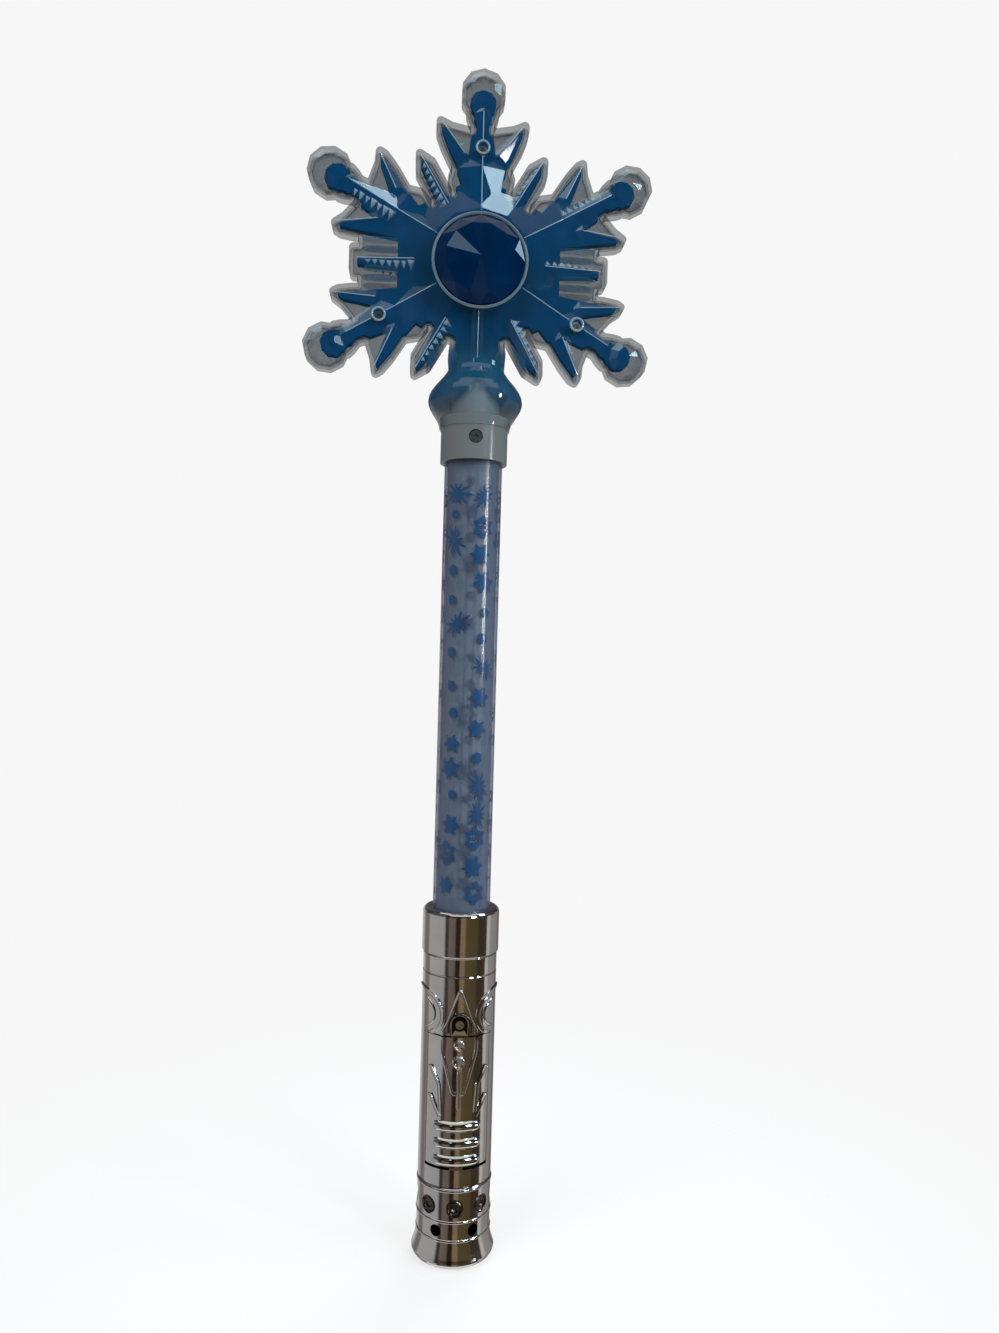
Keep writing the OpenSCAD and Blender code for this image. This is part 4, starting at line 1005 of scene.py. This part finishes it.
class WAND_OT_sunk_discs(bpy.types.Operator):
    """Discs sunk in the foot's recesses and a plate round the door's screw, both darkened as painted shade
    """

    bl_idname = "wand.sunk_discs"
    bl_label = "Sunk discs"

    def execute(self, context):
        self.discs(context.scene.wand_sizes.grip_radius)
        self.plate(context.scene.wand_colours.screw_shade)
        return {"FINISHED"}

    def discs(self, grip):
        """Discs as turn and radius, spun round the foot: a flat-topped ring rises from each, as a bell curve
        of the fourth power."""
        turn = circle(DISC_ROWS)
        reach = np.linspace(0, DISC_RADIUS, DISC_COLUMNS)
        t, q = np.meshgrid(turn, reach, indexing="ij")
        away = grip - DISC_DEPTH + RING_RISE * np.exp(-((q - RING_RADIUS) / RING_HALF) ** 4)
        side, up = q * np.cos(t), DISC_HEIGHT + q * np.sin(t)
        spin = circle(DISC_COUNT)[:, None, None]
        x = away * np.sin(spin) + side * np.cos(spin)
        y = -away * np.cos(spin) + side * np.sin(spin)
        points = np.stack(np.broadcast_arrays(x, y, up), axis=-1)
        one = grid_quads(len(turn), len(reach), closed=True)[:, ::-1]
        faces = repeat_faces(one, t.size, DISC_COUNT)
        piece = add_piece("sunk_discs", points, faces, WAND, bpy.data.materials["painted_shade_plating"])

    def plate(self, colour):
        """A flat plate as place along its rim and share of the way to it: an arch on two straight sides."""
        side = np.array([(PLATE_RADIUS, height) for height in PLATE_SIDES])
        rim = np.concatenate([side, arc(0, 0, PLATE_RADIUS, 0, 180, PLATE_PLACES), side[::-1] * [-1, 1]])
        share = np.linspace(PLATE_HOLE_SHARE, 1, PLATE_COLUMNS)
        flat = rim[:, None] * share[None, :, None] * MM
        points = np.stack(np.broadcast_arrays(flat[..., 0], -PLATE_FRONT, SCREW_MID + flat[..., 1]), axis=-1)
        faces = grid_quads(len(rim), len(share))[:, ::-1]
        # Painted shade: the plate darkens the pocket round the screw
        screw_shade = finish("screw_shade_plating", colour, smooth=0.3, rough=0.45, drift=0.25, **STEEL)
        piece = add_piece("screw_shade_plate", points, faces, DOOR, screw_shade)


class WAND_OT_inner(bpy.types.Operator):
    """Screws, cells, contacts, boards and lamps"""

    bl_idname = "wand.inner"
    bl_label = "Inner pieces"

    def execute(self, context):
        for name, (colour, smooth, rough, others, nodes) in INNER_FINISHES.items():
            finish_nodes(finish(name, colour, smooth, rough, **others), *nodes)
        # Painted shade: the rim of the door's screw is darkened for the shade of its pocket
        screw = finish_of("door_screw")
        from_middle = distance(screw.node_tree, (0, SCREW_LOW.y, SCREW_MID))
        paint_over(screw, ramp(screw.node_tree, from_middle, *SCREW_SHADE_FADE), SCREW_SHADE_COLOUR)
        return {"FINISHED"}


# Stage


class WAND_OT_stage(bpy.types.Operator):
    """Floor, light and camera"""

    bl_idname = "wand.stage"
    bl_label = "Stage"

    def execute(self, context):
        scene = context.scene
        sizes, colours = scene.wand_sizes, scene.wand_colours
        scene.view_settings.view_transform = "Standard"
        scene.world = self.sky(colours)
        self.floor(colours)
        self.surround(sizes)
        for name, row in LAMPS.items():
            self.lamp(name, *row)
        self.camera(scene, sizes)
        return {"FINISHED"}

    def sky(self, colours):
        """A soft sky for the light, with the backdrop's colour for what the camera, gloss and glass see."""
        world = bpy.data.worlds.new("studio")
        world.use_nodes = True
        tree = world.node_tree
        pale = tree.nodes["Background"]
        feed(pale, {"Color": (*colours.backdrop, 1)})
        soft = add_node(tree, "Background", {"Color": SKY_COLOUR, "Strength": SKY_STRENGTH})
        mixed = add_node(
            tree, "MixShader", {"Fac": background_rays(tree), 1: soft.outputs[0], 2: pale.outputs[0]})
        feed(tree.nodes["World Output"], {"Surface": mixed.outputs[0]})
        return world

    def put(self, name, points, faces, material):
        """A stage piece from arrays of points and faces."""
        mesh = bpy.data.meshes.new(name)
        mesh.from_pydata(points.reshape(-1, 3).tolist(), [], faces.tolist())
        mesh.materials.append(material)
        piece = bpy.data.objects.new(name, mesh)
        bpy.context.scene.collection.objects.link(piece)
        return piece

    def floor(self, colours):
        """A disc under the foot that reads as the backdrop, takes the shadow and fades out at its rim."""
        turn = circle(FLOOR_ROWS)
        ring = np.linspace(0, FLOOR_RADIUS, FLOOR_COLUMNS)
        t, r = np.meshgrid(turn, ring, indexing="ij")
        points = np.stack([r * np.cos(t), r * np.sin(t), np.full_like(r, -FLOOR_DROP)], axis=-1)
        material = new_material("pale_floor")
        tree, shader = material.node_tree, shader_of(material)
        feed(shader, {"Roughness": FLOOR_ROUGHNESS, "Base Color": (*colours.backdrop, 1)})
        glow = add_node(tree, "Emission", {"Color": (*np.asarray(colours.backdrop) * GLOW_LEVEL, 1)})
        share = combine(tree, "MULTIPLY", background_rays(tree), GLOW_SHARE)
        lit = add_node(tree, "MixShader", {"Fac": share, 1: shader.outputs[0], 2: glow.outputs[0]})
        fade = ramp(tree, distance(tree, (0, 0, 0)), *FLOOR_FADE, interpolation_type="SMOOTHSTEP")
        clear = add_node(tree, "BsdfTransparent")
        whole = add_node(tree, "MixShader", {"Fac": fade, 1: lit.outputs[0], 2: clear.outputs[0]})
        feed(tree.nodes["Material Output"], {"Surface": whole.outputs[0]})
        piece = self.put("floor", points, grid_quads(len(turn), len(ring), closed=True), material)
        piece.visible_glossy = False

    def surround(self, sizes):
        """An upright drum far round the wand that only reflections see: its colour runs in bands round the
        axis and dims above the handle."""
        turn = np.radians(np.arange(-180.0, 181.0))
        heights, levels = np.array(STUDIO_LEVELS).T
        t, z = np.meshgrid(turn, heights, indexing="ij")
        points = round_axis(STUDIO_RADIUS, t + sizes.camera_turn, z)
        material = new_material("studio_bands")
        tree = material.node_tree
        band = add_node(tree, "Attribute", attribute_name="band")
        glow = add_node(tree, "Emission", {"Color": band.outputs["Color"]})
        feed(tree.nodes["Material Output"], {"Surface": glow.outputs[0]})
        piece = self.put("surround", points, grid_quads(len(turn), len(heights)), material)
        degrees, *bands = np.array(STUDIO_BANDS).T
        dim = np.interp(z, heights, levels)
        colour = [dim * np.interp(np.degrees(t), degrees, level) for level in bands]
        colour = np.stack([*colour, np.ones_like(t)], axis=-1)
        attribute = piece.data.color_attributes.new("band", "FLOAT_COLOR", "POINT")
        attribute.data.foreach_set("color", colour.ravel())
        for rays in ("camera", "shadow", "diffuse", "transmission"):
            setattr(piece, "visible_" + rays, False)

    def lamp(self, name, place, size, power, colour, glints):
        """A soft lamp aimed at the middle of the wand, with or without glints in smooth faces."""
        data = bpy.data.lights.new(name, "AREA")
        data.energy = power
        data.color = colour
        data.shape = "RECTANGLE"
        data.size, data.size_y = size
        light = bpy.data.objects.new(name, data)
        bpy.context.scene.collection.objects.link(light)
        light.location = place
        light.rotation_euler = (LAMP_AIM - Vector(place)).to_track_quat("-Z", "Y").to_euler()
        light.visible_camera = False
        light.visible_glossy = glints

    def camera(self, scene, sizes):
        """The photograph's view: level, a little to the left of the front, and leaning slightly."""
        data = bpy.data.cameras.new("camera")
        data.lens = sizes.camera_lens
        data.clip_start = CAMERA_NEAR
        camera = bpy.data.objects.new("camera", data)
        scene.collection.objects.link(camera)
        turn = sizes.camera_turn
        back = Vector((math.sin(turn), -math.cos(turn), 0))
        right = Vector((math.cos(turn), math.sin(turn), 0))
        place = Vector((0, 0, sizes.camera_height)) + back * sizes.camera_distance
        place = place + right * sizes.camera_side
        look = (-back).to_track_quat("-Z", "Y").to_matrix().to_4x4()
        camera.matrix_world = Matrix.Translation(place) @ look @ Matrix.Rotation(sizes.camera_roll, 4, "Z")
        scene.camera = camera


class WAND_PT_panel(bpy.types.Panel):
    """Lists the wand's pieces"""

    bl_idname = "WAND_PT_panel"
    bl_label = "Toy wand"
    bl_space_type = "VIEW_3D"
    bl_region_type = "UI"
    bl_category = "Wand"

    def draw(self, context):
        for operator in OPERATORS:
            self.layout.operator(operator.bl_idname)
        for group in (context.scene.wand_sizes, context.scene.wand_colours):
            for name in group.bl_rna.properties.keys():
                if name not in ("rna_type", "name"):
                    self.layout.prop(group, name)


OPERATORS = (
    WAND_OT_stage, WAND_OT_shaft, WAND_OT_printed_motifs, WAND_OT_head, WAND_OT_web_ribs,
    WAND_OT_ridge_lines, WAND_OT_screw_rings, WAND_OT_crystal_teeth, WAND_OT_handle, WAND_OT_raised_lines,
    WAND_OT_sunk_discs, WAND_OT_inner,
)
CLASSES = (WandSizes, WandColours, *OPERATORS, WAND_PT_panel)


def register():
    """Registers the classes and hangs the settings on the scene."""
    for item in CLASSES:
        bpy.utils.register_class(item)
    bpy.types.Scene.wand_sizes = bpy.props.PointerProperty(type=WandSizes)
    bpy.types.Scene.wand_colours = bpy.props.PointerProperty(type=WandColours)


def unregister():
    """Takes the settings and the classes away again."""
    del bpy.types.Scene.wand_colours
    del bpy.types.Scene.wand_sizes
    for item in reversed(CLASSES):
        bpy.utils.unregister_class(item)


def main():
    """Makes every piece in order."""
    register()
    bpy.ops.wand.stage()
    bpy.ops.wand.shaft()
    bpy.ops.wand.printed_motifs()
    bpy.ops.wand.head()
    bpy.ops.wand.web_ribs()
    bpy.ops.wand.ridge_lines()
    bpy.ops.wand.screw_rings()
    bpy.ops.wand.crystal_teeth()
    bpy.ops.wand.handle()
    bpy.ops.wand.raised_lines()
    bpy.ops.wand.sunk_discs()
    bpy.ops.wand.inner()
    bpy.context.view_layer.update()


if __name__ == "__main__":
    main()
